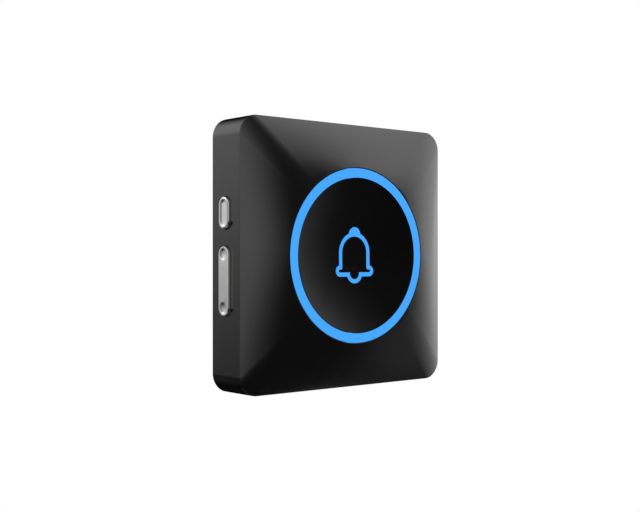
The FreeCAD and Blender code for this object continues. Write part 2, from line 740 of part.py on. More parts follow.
def audio_amplifier():
    """Eight-leg amplifier chip near the loudspeaker plug."""
    return chip(HALF * 0.28, -HALF * 0.07, CHIP_X, CHIP_Z, CHIP_T, Y_BOARD_BACK, 1, 4)


def radio_module():
    """Shielded receiver with a small plinth board of its own."""
    x, z = HALF * 0.47, HALF * 0.33
    half_x, half_z = RADIO_X / 2, RADIO_Z / 2
    y_top = Y_BOARD_BACK + RADIO_PLINTH_T
    plinth = box(x - half_x, x + half_x, Y_BOARD_BACK, y_top, z - half_z, z + half_z)
    half_x, half_z = half_x - RADIO_CAN_EDGE, half_z - RADIO_CAN_EDGE
    can = rounded_block(half_x, half_z, RADIO_CAN_EDGE / 2, y_top, y_top + RADIO_CAN_T, x, z)
    return join(plinth, can)


def crystal():
    """Metal-cased crystal beside the microcontroller."""
    y_top = Y_BOARD_BACK + CRYSTAL_T
    half_x, half_z = CRYSTAL_X / 2, CRYSTAL_Z / 2
    return rounded_block(half_x, half_z, half_z / 2, Y_BOARD_BACK, y_top, -HALF * 0.18, HALF * 0.36)


def antenna_strip():
    """Folded metal strip: up off the main board, along its right edge, then under the top wall."""
    x0 = HALF * 0.7
    z0 = HALF * 0.55
    y_run = Y_BOARD_BACK + ANTENNA_LIFT
    z_run = HALF - WALL - ANTENNA_GAP
    x_end = -HALF * 0.6
    foot = box(x0, x0 + ANTENNA_T, Y_BOARD_BACK, y_run, z0, z0 + ANTENNA_W)
    upright = box(x0, x0 + ANTENNA_T, y_run - ANTENNA_W, y_run, z0, z_run)
    level = box(x_end, x0 + ANTENNA_T, y_run - ANTENNA_W, y_run, z_run - ANTENNA_T, z_run)
    return join(foot, upright, level)


def speaker_plug():
    """Two-pole plug and its header on the main board, by the loudspeaker."""
    x, z = HALF * 0.52, -HALF * 0.25
    header = box(x - 3.8, x + 3.8, Y_BOARD_BACK, Y_BOARD_BACK + 3.4, z - 2.6, z + 2.2)
    key = box(x - 1.2, x + 1.2, Y_BOARD_BACK + 3.4, Y_BOARD_BACK + 3.9, z - 1.6, z + 1.2)
    return join(header, key)


def speaker_lead():
    """Flat two-core lead: down from its plug, one bend, across, and up to the basket's flange."""
    x_right = HALF * 0.52 + LEAD_W / 2
    z_low = SPEAKER_Z - LEAD_W / 2
    x_tag = SPEAKER_R - GASKET_W + BASKET_T + LEAD_TAG_GAP
    y0 = Y_BOARD_BACK + LEAD_LIFT
    y1 = y0 + LEAD_T
    x_bend, z_bend = x_right - LEAD_BEND, z_low + LEAD_BEND
    bend = tube_y(LEAD_BEND, LEAD_BEND - LEAD_W, y0, y1, x_bend, z_bend)
    bend = bend.common(box(x_bend, x_right, y0, y1, z_low, z_bend))
    down = box(x_right - LEAD_W, x_right, y0, y1, z_bend, -HALF * 0.25 - 2.6)
    across = box(x_tag, x_bend, y0, y1, z_low, z_low + LEAD_W)
    tag = box(x_tag, x_tag + LEAD_T, y0, speaker_levels()[1], z_low, z_low + LEAD_W)
    return join(bend, down, across, tag)


def speaker_levels():
    """Levels along Y of the loudspeaker: flange front, flange back and rear of the pot."""
    front = Y_COVER_IN - GASKET_T
    return front, front - BASKET_T, front - SPEAKER_DEPTH


def speaker_gasket():
    """Foam ring between the loudspeaker and the rear cover."""
    front = speaker_levels()[0]
    return tube_y(SPEAKER_R, SPEAKER_R - GASKET_W, front, Y_COVER_IN, 0, SPEAKER_Z)


def speaker_frame():
    """Pressed basket: flange, round wall, and a windowed floor that holds the pot."""
    front, back, rear = speaker_levels()
    wall_in = SPEAKER_R - GASKET_W
    wall_out = wall_in + BASKET_T
    y_floor = rear + YOKE_T + MAGNET_T + POLE_T
    basket = turned([
        (wall_in, front), (SPEAKER_R, front), (SPEAKER_R, back), (wall_out, back),
        (wall_out, y_floor), (YOKE_R, y_floor),
        (YOKE_R, y_floor + BASKET_T), (wall_in, y_floor + BASKET_T),
    ], 0, SPEAKER_Z)
    windows = []
    half = BASKET_WINDOW_W / 2
    for index in range(BASKET_WINDOWS):
        window = box(-half, half, y_floor, y_floor + BASKET_T, YOKE_R + BASKET_LAND, wall_in - BASKET_LAND)
        window.rotate(V(0, 0, 0), V(0, 1, 0), (index + 0.5) * 360 / BASKET_WINDOWS)
        window.translate(V(0, 0, SPEAKER_Z))
        windows.append(window)
    return basket.cut(windows)


def speaker_yoke():
    """Steel pot that closes the magnet's field."""
    rear = speaker_levels()[2]
    top = rear + YOKE_T + MAGNET_T + POLE_T
    pot = rod_y(YOKE_R, rear, top, 0, SPEAKER_Z)
    return pot.cut(rod_y(YOKE_R - YOKE_WALL, rear + YOKE_T, top, 0, SPEAKER_Z))


def speaker_magnet():
    """Disc magnet on the floor of the pot."""
    rear = speaker_levels()[2] + YOKE_T
    return rod_y(MAGNET_R, rear, rear + MAGNET_T, 0, SPEAKER_Z)


def speaker_top_plate():
    """Steel pole plate on the magnet."""
    rear = speaker_levels()[2] + YOKE_T + MAGNET_T
    return rod_y(MAGNET_R, rear, rear + POLE_T, 0, SPEAKER_Z)


def voice_coil():
    """Coil on its former, hanging in the gap between pole and pot."""
    top = speaker_levels()[2] + YOKE_T + MAGNET_T + POLE_T
    return tube_y(COIL_R + COIL_T, COIL_R, top + 0.8 - COIL_LENGTH, top + 0.8, 0, SPEAKER_Z)


def cone_levels():
    """Levels along Y of the cone's rim and of its neck on the coil."""
    front = speaker_levels()[0]
    neck = speaker_levels()[2] + YOKE_T + MAGNET_T + POLE_T + 0.8
    return front - 0.45, neck


def speaker_cone():
    """Shallow cone with a flat cap over the coil."""
    rim_y, neck_y = cone_levels()
    neck_r = COIL_R + COIL_T
    return turned([
        (0, neck_y), (neck_r, neck_y), (CONE_R, rim_y - CONE_T), (CONE_R, rim_y),
        (neck_r - 0.2, neck_y + CONE_T), (0, neck_y + CONE_T),
    ], 0, SPEAKER_Z)


def speaker_surround():
    """Soft ring, folded to a shallow ridge, between the cone's rim and the basket."""
    rim_y = cone_levels()[0]
    inner, outer = CONE_R, SPEAKER_R - GASKET_W
    middle = (inner + outer) / 2
    return turned([
        (inner, rim_y), (middle, rim_y + SURROUND_RISE), (outer, rim_y),
        (outer, rim_y - CONE_T), (middle, rim_y - CONE_T + SURROUND_RISE), (inner, rim_y - CONE_T),
    ], 0, SPEAKER_Z)


def speaker_posts():
    """Places of the two posts that hold the loudspeaker to the rear cover."""
    reach = SPEAKER_R + SPEAKER_POST_GAP + SPEAKER_POST_R
    turns = [math.radians(t) for t in SPEAKER_POST_TURNS]
    return [(reach * math.cos(t), SPEAKER_Z + reach * math.sin(t)) for t in turns]


def speaker_screws():
    """Screws whose heads clamp the loudspeaker's flange."""
    y_seat = speaker_levels()[1]
    return [
        screw_y(SCREW_R, SPEAKER_HEAD_R, SCREW_HEAD_T, y_seat, SPEAKER_SCREW_LENGTH, x, z, 1)
        for x, z in speaker_posts()
    ]


def power_posts():
    """Places of the two posts on which the power board rests; its pins hold it."""
    x = POWER_HALF - 4.0
    return [(x, POWER_TOP - 3.5), (-x, POWER_BOTTOM + 3.5)]


def power_board():
    """Power board behind the plug boss, with its holes for the pin tails."""
    middle = (POWER_TOP + POWER_BOTTOM) / 2
    half_z = (POWER_TOP - POWER_BOTTOM) / 2
    board = rounded_block(POWER_HALF, half_z, BOARD_CORNER, Y_POWER_FRONT, Y_POWER_BACK, 0, middle)
    cuts = []
    for side in (-1, 1):
        x = side * PIN_PITCH / 2
        cuts.append(rod_y(PIN_TAIL_R + HOLE_GAP, Y_POWER_FRONT, Y_POWER_BACK, x, 0))
    return board.cut(cuts)


def transformer_sizes():
    """Half width, half height, seat and top of the transformer in the plug boss."""
    half_x = PIN_PITCH / 2 - PIN_COLLAR_R - 0.7
    half_z = BOSS_HEIGHT / 2 - BOSS_WALL - 0.5
    return half_x, half_z, Y_POWER_BACK, Y_COVER_IN + 8.0


def transformer_core():
    """Ferrite core: a yoke frame with a middle leg."""
    half_x, half_z, seat, top = transformer_sizes()
    depth = half_z * 0.5
    foot = seat + CORE_LIFT
    y0, y1 = foot + CORE_RIM, top - CORE_RIM
    block = box(-half_x, half_x, foot, top, -depth, depth)
    windows = [
        box(-half_x + CORE_RIM, -CORE_LEG_HALF, y0, y1, -depth, depth),
        box(CORE_LEG_HALF, half_x - CORE_RIM, y0, y1, -depth, depth),
    ]
    return block.cut(windows)


def transformer_winding():
    """Bobbin and winding round the core's middle leg, with feet on the board."""
    half_x, half_z, seat, top = transformer_sizes()
    depth = half_z * 0.5
    y0, y1 = seat + CORE_LIFT + CORE_RIM, top - CORE_RIM
    reel = rounded_block(half_x - REEL_EDGE, half_z, REEL_EDGE, y0, y1)
    hollow = box(-CORE_LEG_HALF, CORE_LEG_HALF, y0 - 1, y1 + 1, -depth, depth)
    foot_z = half_z - depth - REEL_FOOT_GAP
    feet = [
        box(x0, x0 + REEL_FOOT_W, seat, y0, z0, z0 + foot_z)
        for x0 in (-half_x + REEL_FOOT_IN, half_x - REEL_FOOT_IN - REEL_FOOT_W)
        for z0 in (-half_z, depth + REEL_FOOT_GAP)
    ]
    return join(reel.cut(hollow), *feet)


def smoothing_capacitors():
    """Two electrolytic capacitors lying on the power board, on bent legs."""
    cans = []
    for z in (HALF * 0.30, HALF * 0.43):
        x0 = -POWER_HALF + 5.5
        x1 = x0 + CAPACITOR_LENGTH
        y = Y_POWER_FRONT - CAPACITOR_R
        legs = []
        for dz in (-1.0, 1.0):
            legs.append(box(x1, x1 + 1.5, y - 0.25, y + 0.25, z + dz - 0.25, z + dz + 0.25))
            legs.append(box(x1 + 1.0, x1 + 1.5, y, Y_POWER_FRONT, z + dz - 0.25, z + dz + 0.25))
        cans.append(join(rod_x(CAPACITOR_R, x0, x1, y, z), *legs))
    return cans


def bridge_rectifier():
    """Four-leg rectifier on the power board."""
    return chip(HALF * 0.5, HALF * 0.06, RECTIFIER_X, CHIP_Z, RECTIFIER_T, Y_POWER_FRONT, -1, 2)


def converter_chip():
    """Eight-leg switching chip on the power board."""
    return chip(0, HALF * 0.52, CHIP_X, CHIP_Z, CHIP_T, Y_POWER_FRONT, -1, 4)


def fuse_resistor():
    """Axial fusible resistor lying on the power board, on its two bent legs."""
    x0, z, half = HALF * 0.26, HALF * 0.62, FUSE_WIRE_HALF
    x1 = x0 + FUSE_LENGTH
    y = Y_POWER_FRONT - FUSE_R - FUSE_LIFT
    body = rod_x(FUSE_R, x0, x1, y, z)
    legs = []
    for start, end in ((x0 - FUSE_LEG_OUT, x0), (x1, x1 + FUSE_LEG_OUT)):
        legs.append(box(start, end, y - half, y + half, z - half, z + half))
        foot = start if start < x0 else end - 2 * half
        legs.append(box(foot, foot + 2 * half, y, Y_POWER_FRONT, z - half, z + half))
    return join(body, *legs)


def board_header():
    """Pin strip that joins the two boards."""
    x, z = -HALF * 0.22, POWER_TOP - 3.5
    strip = box(x - 5.0, x + 5.0, Y_BOARD_BACK, Y_BOARD_BACK + 2.5, z - 1.25, z + 1.25)
    pins = [
        box(x + dx - 0.3, x + dx + 0.3, Y_BOARD_BACK + 1.0, Y_POWER_FRONT, z - 0.3, z + 0.3)
        for dx in (-3.75, -1.25, 1.25, 3.75)
    ]
    return join(strip, *pins)


def boss_wire(half_x, half_z, half_flat, y):
    """Eight-sided plug outline: flat top and bottom with slanted corners."""
    cut = half_x - half_flat
    right = [(half_x, half_z - cut), (half_flat, half_z)]
    left = [(-half_flat, half_z), (-half_x, half_z - cut)]
    upper = right + left
    lower = [(-x, -z) for x, z in upper]
    points = [V(x, y, z) for x, z in upper + lower]
    return Part.makePolygon(points + points[:1])


def plug_boss():
    """Solid plug boss and the hollow inside it."""
    half_x, half_z, half_flat = BOSS_WIDTH / 2, BOSS_HEIGHT / 2, BOSS_FLAT / 2
    solid = Part.Face(boss_wire(half_x, half_z, half_flat, Y_BACK)).extrude(V(0, BOSS_DEPTH, 0))
    solid = solid.makeChamfer(BOSS_EDGE, edges_on(solid, 0.0, 0.0))
    flat_in = half_flat - BOSS_WALL * math.tan(math.pi / 8)
    inner = boss_wire(half_x - BOSS_WALL, half_z - BOSS_WALL, flat_in, Y_COVER_IN - 1)
    hollow = Part.Face(inner).extrude(V(0, -BOSS_FACE_T - Y_COVER_IN + 1, 0))
    return solid, hollow


def sound_slots():
    """Upright sound slots whose ends follow a circle."""
    slots = []
    for index in range(SOUND_SLOTS):
        x = (index - (SOUND_SLOTS - 1) / 2) * SOUND_PITCH
        reach = math.sqrt(SOUND_FIELD_R ** 2 - x ** 2)
        half = SOUND_SLOT / 2
        slots.append(box(
            x - half, x + half, Y_COVER_IN - 1, Y_BACK + 1, SPEAKER_Z - reach, SPEAKER_Z + reach,
        ))
    return slots


def speaker_stops():
    """Blocks that centre the loudspeaker, between its two posts."""
    inner = SPEAKER_R + PART_GAP
    stops = []
    for turn in SPEAKER_POST_TURNS:
        stop = box(inner, inner + 1.2, speaker_levels()[1], Y_COVER_IN, -3.0, 3.0)
        stop.rotate(V(0, 0, 0), V(0, 1, 0), 90 - turn)
        stop.translate(V(0, 0, SPEAKER_Z))
        stops.append(stop)
    return stops


def rear_cover():
    """Rear cover: inset plate with plug boss, sound holes, posts and screw seats."""
    half = HALF - WALL - PART_GAP
    plate = rounded_block(half, half, CORNER_R - WALL - PART_GAP, Y_COVER_IN, Y_BACK)
    boss, hollow = plug_boss()
    stops = speaker_stops()
    posts = [rod_y(SPEAKER_POST_R, speaker_levels()[1], Y_COVER_IN, x, z) for x, z in speaker_posts()]
    posts += [rod_y(POST_R, Y_POWER_BACK, Y_COVER_IN, x, z) for x, z in power_posts()]
    cover = join(plate, boss, *stops, *posts)
    cuts = [hollow] + sound_slots()
    cuts.append(sound_channel(SPEAKER_Z + SOUND_FIELD_R + SOUND_SLOT))
    for side in (-1, 1):
        cuts.append(rod_y(SLEEVE_R, -BOSS_FACE_T - 1, 1, side * PIN_PITCH / 2, 0))
    for x, z in speaker_posts():
        cuts.append(rod_y(SCREW_PILOT_R, speaker_levels()[1], speaker_levels()[1] + 2.8, x, z))
    for sx, sz in CORNERS:
        x, z = sx * CASE_SCREW_AT, sz * CASE_SCREW_AT
        cuts.append(rod_y(CASE_SCREW_R + HOLE_GAP, Y_COVER_IN - 1, Y_BACK + 1, x, z))
        cuts.append(rod_y(CASE_HEAD_R + CASE_HEAD_GAP, Y_BACK - CASE_HEAD_T, Y_BACK + 1, x, z))
    return cover.cut(cuts)


def case_screws():
    """Four screws that hold the rear cover to the shell's corner bosses."""
    return [
        screw_y(CASE_SCREW_R, CASE_HEAD_R, CASE_HEAD_T, Y_BACK - CASE_HEAD_T, CASE_SCREW_LENGTH,
                sx * CASE_SCREW_AT, sz * CASE_SCREW_AT, -1)
        for sx, sz in CORNERS
    ]


def plug_pins():
    """Two round pins: bevelled tip, core under the sleeve, collar and tail to the power board."""
    pins = []
    y_collar = -BOSS_FACE_T - PIN_COLLAR_T
    for side in (-1, 1):
        x = side * PIN_PITCH / 2
        y_tail = Y_POWER_FRONT - PIN_TAIL_OUT
        pins.append(turned([
            (0, y_tail), (PIN_TAIL_R, y_tail),
            (PIN_TAIL_R, y_collar), (PIN_COLLAR_R, y_collar),
            (PIN_COLLAR_R, -BOSS_FACE_T), (PIN_CORE_R, -BOSS_FACE_T),
            (PIN_CORE_R, SLEEVE_LENGTH), (PIN_R, SLEEVE_LENGTH),
            (PIN_R, PIN_LENGTH - PIN_TIP), (PIN_R - PIN_TIP, PIN_LENGTH), (0, PIN_LENGTH),
        ], x, 0))
    return pins


def pin_sleeves():
    """Insulating sleeves moulded round the root of each pin."""
    return [
        tube_y(SLEEVE_R, PIN_CORE_R, -BOSS_FACE_T, SLEEVE_LENGTH, side * PIN_PITCH / 2, 0)
        for side in (-1, 1)
    ]


NODES = {
    "front_shell": front_shell,
    "light_ring": light_ring,
    "dish_panel": dish_panel,
    "bell_island": bell_island,
    "bell_window": bell_window,
    "light_baffle": light_baffle,
    "main_board": main_board,
    "main_board_screws": main_board_screws,
    "ring_leds": ring_leds,
    "icon_leds": icon_leds,
    "select_button": select_button,
    "volume_rocker": volume_rocker,
    "select_switch": lambda: switch_body(SELECT_Z),
    "select_plunger": lambda: switch_plunger(SELECT_Z),
    "volume_up_switch": lambda: switch_body(UP_Z),
    "volume_up_plunger": lambda: switch_plunger(UP_Z),
    "volume_down_switch": lambda: switch_body(DOWN_Z),
    "volume_down_plunger": lambda: switch_plunger(DOWN_Z),
    "microcontroller": microcontroller,
    "melody_memory": melody_memory,
    "audio_amplifier": audio_amplifier,
    "radio_module": radio_module,
    "crystal": crystal,
    "antenna_strip": antenna_strip,
    "speaker_plug": speaker_plug,
    "speaker_lead": speaker_lead,
    "speaker_gasket": speaker_gasket,
    "speaker_frame": speaker_frame,
    "speaker_yoke": speaker_yoke,
    "speaker_magnet": speaker_magnet,
    "speaker_top_plate": speaker_top_plate,
    "voice_coil": voice_coil,
    "speaker_cone": speaker_cone,
    "speaker_surround": speaker_surround,
    "speaker_screws": speaker_screws,
    "power_board": power_board,
    "transformer_core": transformer_core,
    "transformer_winding": transformer_winding,
    "smoothing_capacitors": smoothing_capacitors,
    "bridge_rectifier": bridge_rectifier,
    "converter_chip": converter_chip,
    "fuse_resistor": fuse_resistor,
    "board_header": board_header,
    "rear_cover": rear_cover,
    "case_screws": case_screws,
    "plug_pins": plug_pins,
    "pin_sleeves": pin_sleeves,
}


def main():
    """Build each node and write it to its own file."""
    os.makedirs("parts", exist_ok=True)
    for name, build in NODES.items():
        shape = build()
        if isinstance(shape, list):
            shape = Part.makeCompound(shape)
        shape.exportStep(f"parts/{name}.step")


main()
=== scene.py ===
"""Looks of a plug-in doorbell chime, built round the fixed construction frame.

The piece classes draw in millimetres, in the frame's own axes: +Y into the wall, +Z up,
+X to the right as seen from the front. A draft becomes metres once, when it is made.
"""

import logging
import math
from collections.abc import Callable, Iterable
from dataclasses import dataclass, field
from enum import Enum, IntEnum

import bmesh
import bpy
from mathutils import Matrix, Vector


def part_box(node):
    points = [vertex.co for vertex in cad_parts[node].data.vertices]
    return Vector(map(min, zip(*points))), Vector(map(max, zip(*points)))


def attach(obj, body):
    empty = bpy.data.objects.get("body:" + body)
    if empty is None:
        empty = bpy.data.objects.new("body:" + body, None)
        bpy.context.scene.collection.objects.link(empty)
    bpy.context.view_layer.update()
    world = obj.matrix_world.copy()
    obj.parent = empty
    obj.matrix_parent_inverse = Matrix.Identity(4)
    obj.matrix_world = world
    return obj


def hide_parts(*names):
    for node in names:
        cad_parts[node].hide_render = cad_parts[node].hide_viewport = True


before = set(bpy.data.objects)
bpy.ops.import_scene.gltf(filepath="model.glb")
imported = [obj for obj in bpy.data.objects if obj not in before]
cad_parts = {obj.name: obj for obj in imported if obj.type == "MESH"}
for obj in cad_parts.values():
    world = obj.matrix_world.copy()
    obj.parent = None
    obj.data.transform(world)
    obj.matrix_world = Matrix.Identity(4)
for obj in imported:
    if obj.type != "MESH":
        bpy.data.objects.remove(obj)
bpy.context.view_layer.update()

LOG = logging.getLogger("chime")
MM = 0.001

HALF = 42.5
Y_BACK = -17.5
Y_COVER_IN = -19.5
Y_KEYS = -24.65
Y_BOARD_FRONT = -29.2
Y_CREASE = -31.8
Y_FLANGE_BACK = -34.4
Y_FLANGE = -35.6
Y_FRONT = -37.6
SELECT_Z = 12.9
ROCKER_Z = -7.8
AXLE_X = -38.9
SCREW_AT = 34.5

CORNERS = ((1, 1), (-1, 1), (-1, -1), (1, -1))
EDGE_STEPS = 5
END_STEPS = 28
SIDE_STEPS = 12
LINE_STEPS = 6

Point = tuple[float, float, float]
Flat = tuple[float, float]
Colour = tuple[float, float, float]
NormalAt = Callable[[Vector, Vector], Vector | None]
Socket = bpy.types.NodeSocket
Value = Socket | float
Shade = Socket | Colour
Node = bpy.types.Node
Tree = bpy.types.NodeTree
Inputs = dict[str | int, object]
Draw = Callable[["Sheet", Node], dict[str, Socket]]


def mix(start: float, end: float, share: float) -> float:
    """A value that passes from its start at 0 to its end at 1."""
    return start + (end - start) * share


def quarter(radius: float, steps: int = EDGE_STEPS) -> list[Flat]:
    """Quarter round over an edge.

    Args:
        radius: Radius of the round.
        steps: Number of short faces in it.

    Returns:
        Pairs of distance from the wall and depth below the face, from face to wall.
    """
    turns = [math.pi / 2 * step / steps for step in range(steps + 1)]
    return [(radius * (1 - math.sin(t)), radius * (1 - math.cos(t))) for t in turns]


def circle(radius: float, steps: int, x: float = 0.0, z: float = 0.0) -> list[Flat]:
    """Points of a circle.

    Args:
        radius: Radius of the circle.
        steps: Number of points.
        x: Middle along X.
        z: Middle along Z.

    Returns:
        Points in the XZ plane, turning from +X to +Z.
    """
    turns = [math.tau * step / steps for step in range(steps)]
    return [(x + radius * math.cos(t), z + radius * math.sin(t)) for t in turns]


def arc(x: float, z: float, radius: float, start: float, end: float, steps: int) -> list[Flat]:
    """Points of an arc, both ends among them.

    Args:
        x: Middle along X.
        z: Middle along Z.
        radius: Radius of the arc.
        start: First turn in degrees.
        end: Last turn in degrees.
        steps: Number of short lines.

    Returns:
        Points in the XZ plane.
    """
    turns = [math.radians(start + (end - start) * step / steps) for step in range(steps + 1)]
    return [(x + radius * math.cos(t), z + radius * math.sin(t)) for t in turns]


def upright(x: float, start: float, end: float) -> list[Flat]:
    """Points between the ends of an upright line in the XZ plane, without the ends."""
    return [(x, mix(start, end, step / LINE_STEPS)) for step in range(1, LINE_STEPS)]


def slab(x0: float, z0: float, x1: float, z1: float) -> list[Flat]:
    """Rectangle in the XZ plane, from its first corner to the opposite one."""
    return [(x0, z0), (x1, z0), (x1, z1), (x0, z1)]


def oblong(width: float, length: float, x: float, z: float) -> list[Point]:
    """Upright oblong with round ends, square to X, at the level of the side keys.

    Args:
        width: Size along Y.
        length: Size along Z.
        x: Level along X.
        z: Middle along Z.

    Returns:
        Closed loop of points.
    """
    radius = width / 2
    rise = length / 2 - radius
    turns = [math.pi * step / END_STEPS for step in range(END_STEPS + 1)]
    heights = [mix(rise, -rise, step / SIDE_STEPS) for step in range(1, SIDE_STEPS)]
    top = [(x, Y_KEYS + radius * math.cos(t), z + rise + radius * math.sin(t)) for t in turns]
    bottom = [(x, Y_KEYS - radius * math.cos(t), z - rise - radius * math.sin(t)) for t in turns]
    front = [(x, Y_KEYS - radius, z + height) for height in heights]
    rear = [(x, Y_KEYS + radius, z - height) for height in heights]
    return top + front + bottom + rear


class Axis(Enum):
    """Line round which a piece is turned."""

    Y = "y"
    X = "x"


class Side(IntEnum):
    """Side of the square body, in the order of its outline."""

    TOP = 0
    LEFT = 1
    BOTTOM = 2
    RIGHT = 3


def shade_evenly(piece: bpy.types.Object, weight: int = 50) -> None:
    """Keeps flat faces flat where they meet rounds.

    Args:
        piece: The piece.
        weight: Pull of its large faces. 50 is even.
    """
    even = piece.modifiers.new("Even shading", "WEIGHTED_NORMAL")
    even.keep_sharp = True
    even.weight = weight


@dataclass
class MeshDraft:
    """Corners and faces of one piece in millimetres, before it becomes an object."""

    corners: list[Point] = field(default_factory=list)
    faces: list[tuple[int, ...]] = field(default_factory=list)
    flat_weight: int = 80

    def loop(self, points: Iterable[Point]) -> list[int]:
        """Adds a row of corners.

        Args:
            points: The corners in order.

        Returns:
            Their numbers in the draft.
        """
        start = len(self.corners)
        self.corners.extend(points)
        return list(range(start, len(self.corners)))

    def level(self, outline: Iterable[Flat], y: float) -> list[int]:
        """Adds an outline of the XZ plane at a level along Y, and gives its numbers."""
        return self.loop((x, y, z) for x, z in outline)

    def bridge(self, first: list[int], second: list[int], skip: Iterable[int] = ()) -> None:
        """Joins two closed loops of the same length with four-sided faces.

        Args:
            first: One loop.
            second: The other loop.
            skip: Places along the loops that stay open.
        """
        open_places = set(skip)
        count = len(first)
        for at in range(count):
            if at not in open_places:
                after = (at + 1) % count
                self.faces.append((first[at], first[after], second[after], second[at]))

    def chain(self, loops: list[list[int]]) -> None:
        """Joins each loop to the next."""
        for first, second in zip(loops, loops[1:]):
            self.bridge(first, second)

    def stack(self, rows: Iterable[Iterable[Point]]) -> list[list[int]]:
        """Adds closed loops and joins each to the next.

        Args:
            rows: The loops, all of one length.

        Returns:
            The numbers of each loop's corners.
        """
        loops = [self.loop(row) for row in rows]
        self.chain(loops)
        return loops

    def fill(self, *loops: list[int]) -> None:
        """Fills a flat region.

        Args:
            *loops: Its rim, then the rims of its holes.
        """
        region = bmesh.new()
        numbers = {}
        for loop in loops:
            spots = [region.verts.new(self.corners[number]) for number in loop]
            numbers.update(zip(spots, loop))
            for first, second in zip(spots, spots[1:] + spots[:1]):
                region.edges.new((first, second))
        made = bmesh.ops.triangle_fill(region, use_beauty=True, edges=region.edges[:])
        for item in made["geom"]:
            if isinstance(item, bmesh.types.BMFace):
                self.faces.append(tuple(numbers[spot] for spot in item.verts))
        region.free()

    def turn(self, profile: list[Flat], steps: int, middle: Point = (0.0, 0.0, 0.0),
             axis: Axis = Axis.Y, closed: bool = False) -> list[list[int]]:
        """Adds a body of revolution.

        Args:
            profile: Pairs of radius and level along the axis. Radius 0 makes a tip.
            steps: Number of faces round it.
            middle: A point on the axis.
            axis: The axis.
            closed: Whether the profile's end joins its start, as on a ring.

        Returns:
            The numbers of each level's corners.
        """
        rows = []
        for radius, level in profile:
            ring = circle(radius, steps if radius else 1)
            rows.append(self.loop(self.spot(a, b, level, middle, axis) for a, b in ring))
        for first, second in zip(rows, rows[1:] + (rows[:1] if closed else [])):
            if len(first) == len(second):
                self.bridge(first, second)
                continue
            tip, ring = sorted((first, second), key=len)
            for at, number in enumerate(ring):
                self.faces.append((number, ring[(at + 1) % steps], tip[0]))
        return rows

    @staticmethod
    def spot(a: float, b: float, level: float, middle: Point, axis: Axis) -> Point:
        """Places a point of a turned body.

        Args:
            a: First distance from the axis.
            b: Second distance from the axis.
            level: Distance along the axis.
            middle: A point on the axis.
            axis: The axis.

        Returns:
            The point.
        """
        x, y, z = middle
        if axis is Axis.Y:
            return (x + a, y + level, z + b)
        return (x + level, y + a, z + b)

    def plate(self, y0: float, y1: float, *outlines: list[Flat]) -> None:
        """Adds a flat plate square to Y.

        Args:
            y0: First level.
            y1: Second level.
            *outlines: Its rim, then the rims of its holes, in the XZ plane.
        """
        ends = []
        for y in (y0, y1):
            loops = [self.level(outline, y) for outline in outlines]
            self.fill(*loops)
            ends.append(loops)
        for first, second in zip(*ends):
            self.bridge(first, second)

    def make(self, name: str, finish: "Finish", crease: float = 32.0,
             normal_at: NormalAt | None = None) -> bpy.types.Object:
        """Turns the draft into an object in the scene.

        Args:
            name: Name of the piece.
            finish: Its surface.
            crease: Angle in degrees above which an edge is drawn sharp.
            normal_at: Exact normal from a corner and its face's normal, or None for a plain one.

        Returns:
            The object.
        """
        mesh = bpy.data.meshes.new(name)
        places = [tuple(MM * value for value in corner) for corner in self.corners]
        mesh.from_pydata(places, [], self.faces)
        shaped = bmesh.new()
        shaped.from_mesh(mesh)
        bmesh.ops.recalc_face_normals(shaped, faces=shaped.faces[:])
        shaped.to_mesh(mesh)
        shaped.free()
        mesh.shade_smooth()
        mesh.set_sharp_from_angle(angle=math.radians(crease))
        mesh.materials.append(finish.material())
        piece = bpy.data.objects.new(name, mesh)
        bpy.context.scene.collection.objects.link(piece)
        if normal_at is None:
            shade_evenly(piece, self.flat_weight)
            return piece
        normals: list[Vector] = []
        for face in mesh.polygons:
            for number in face.vertices:
                exact = normal_at(mesh.vertices[number].co / MM, face.normal)
                normals.append(face.normal.copy() if exact is None else exact)
        mesh.normals_split_custom_set(normals)
        return piece


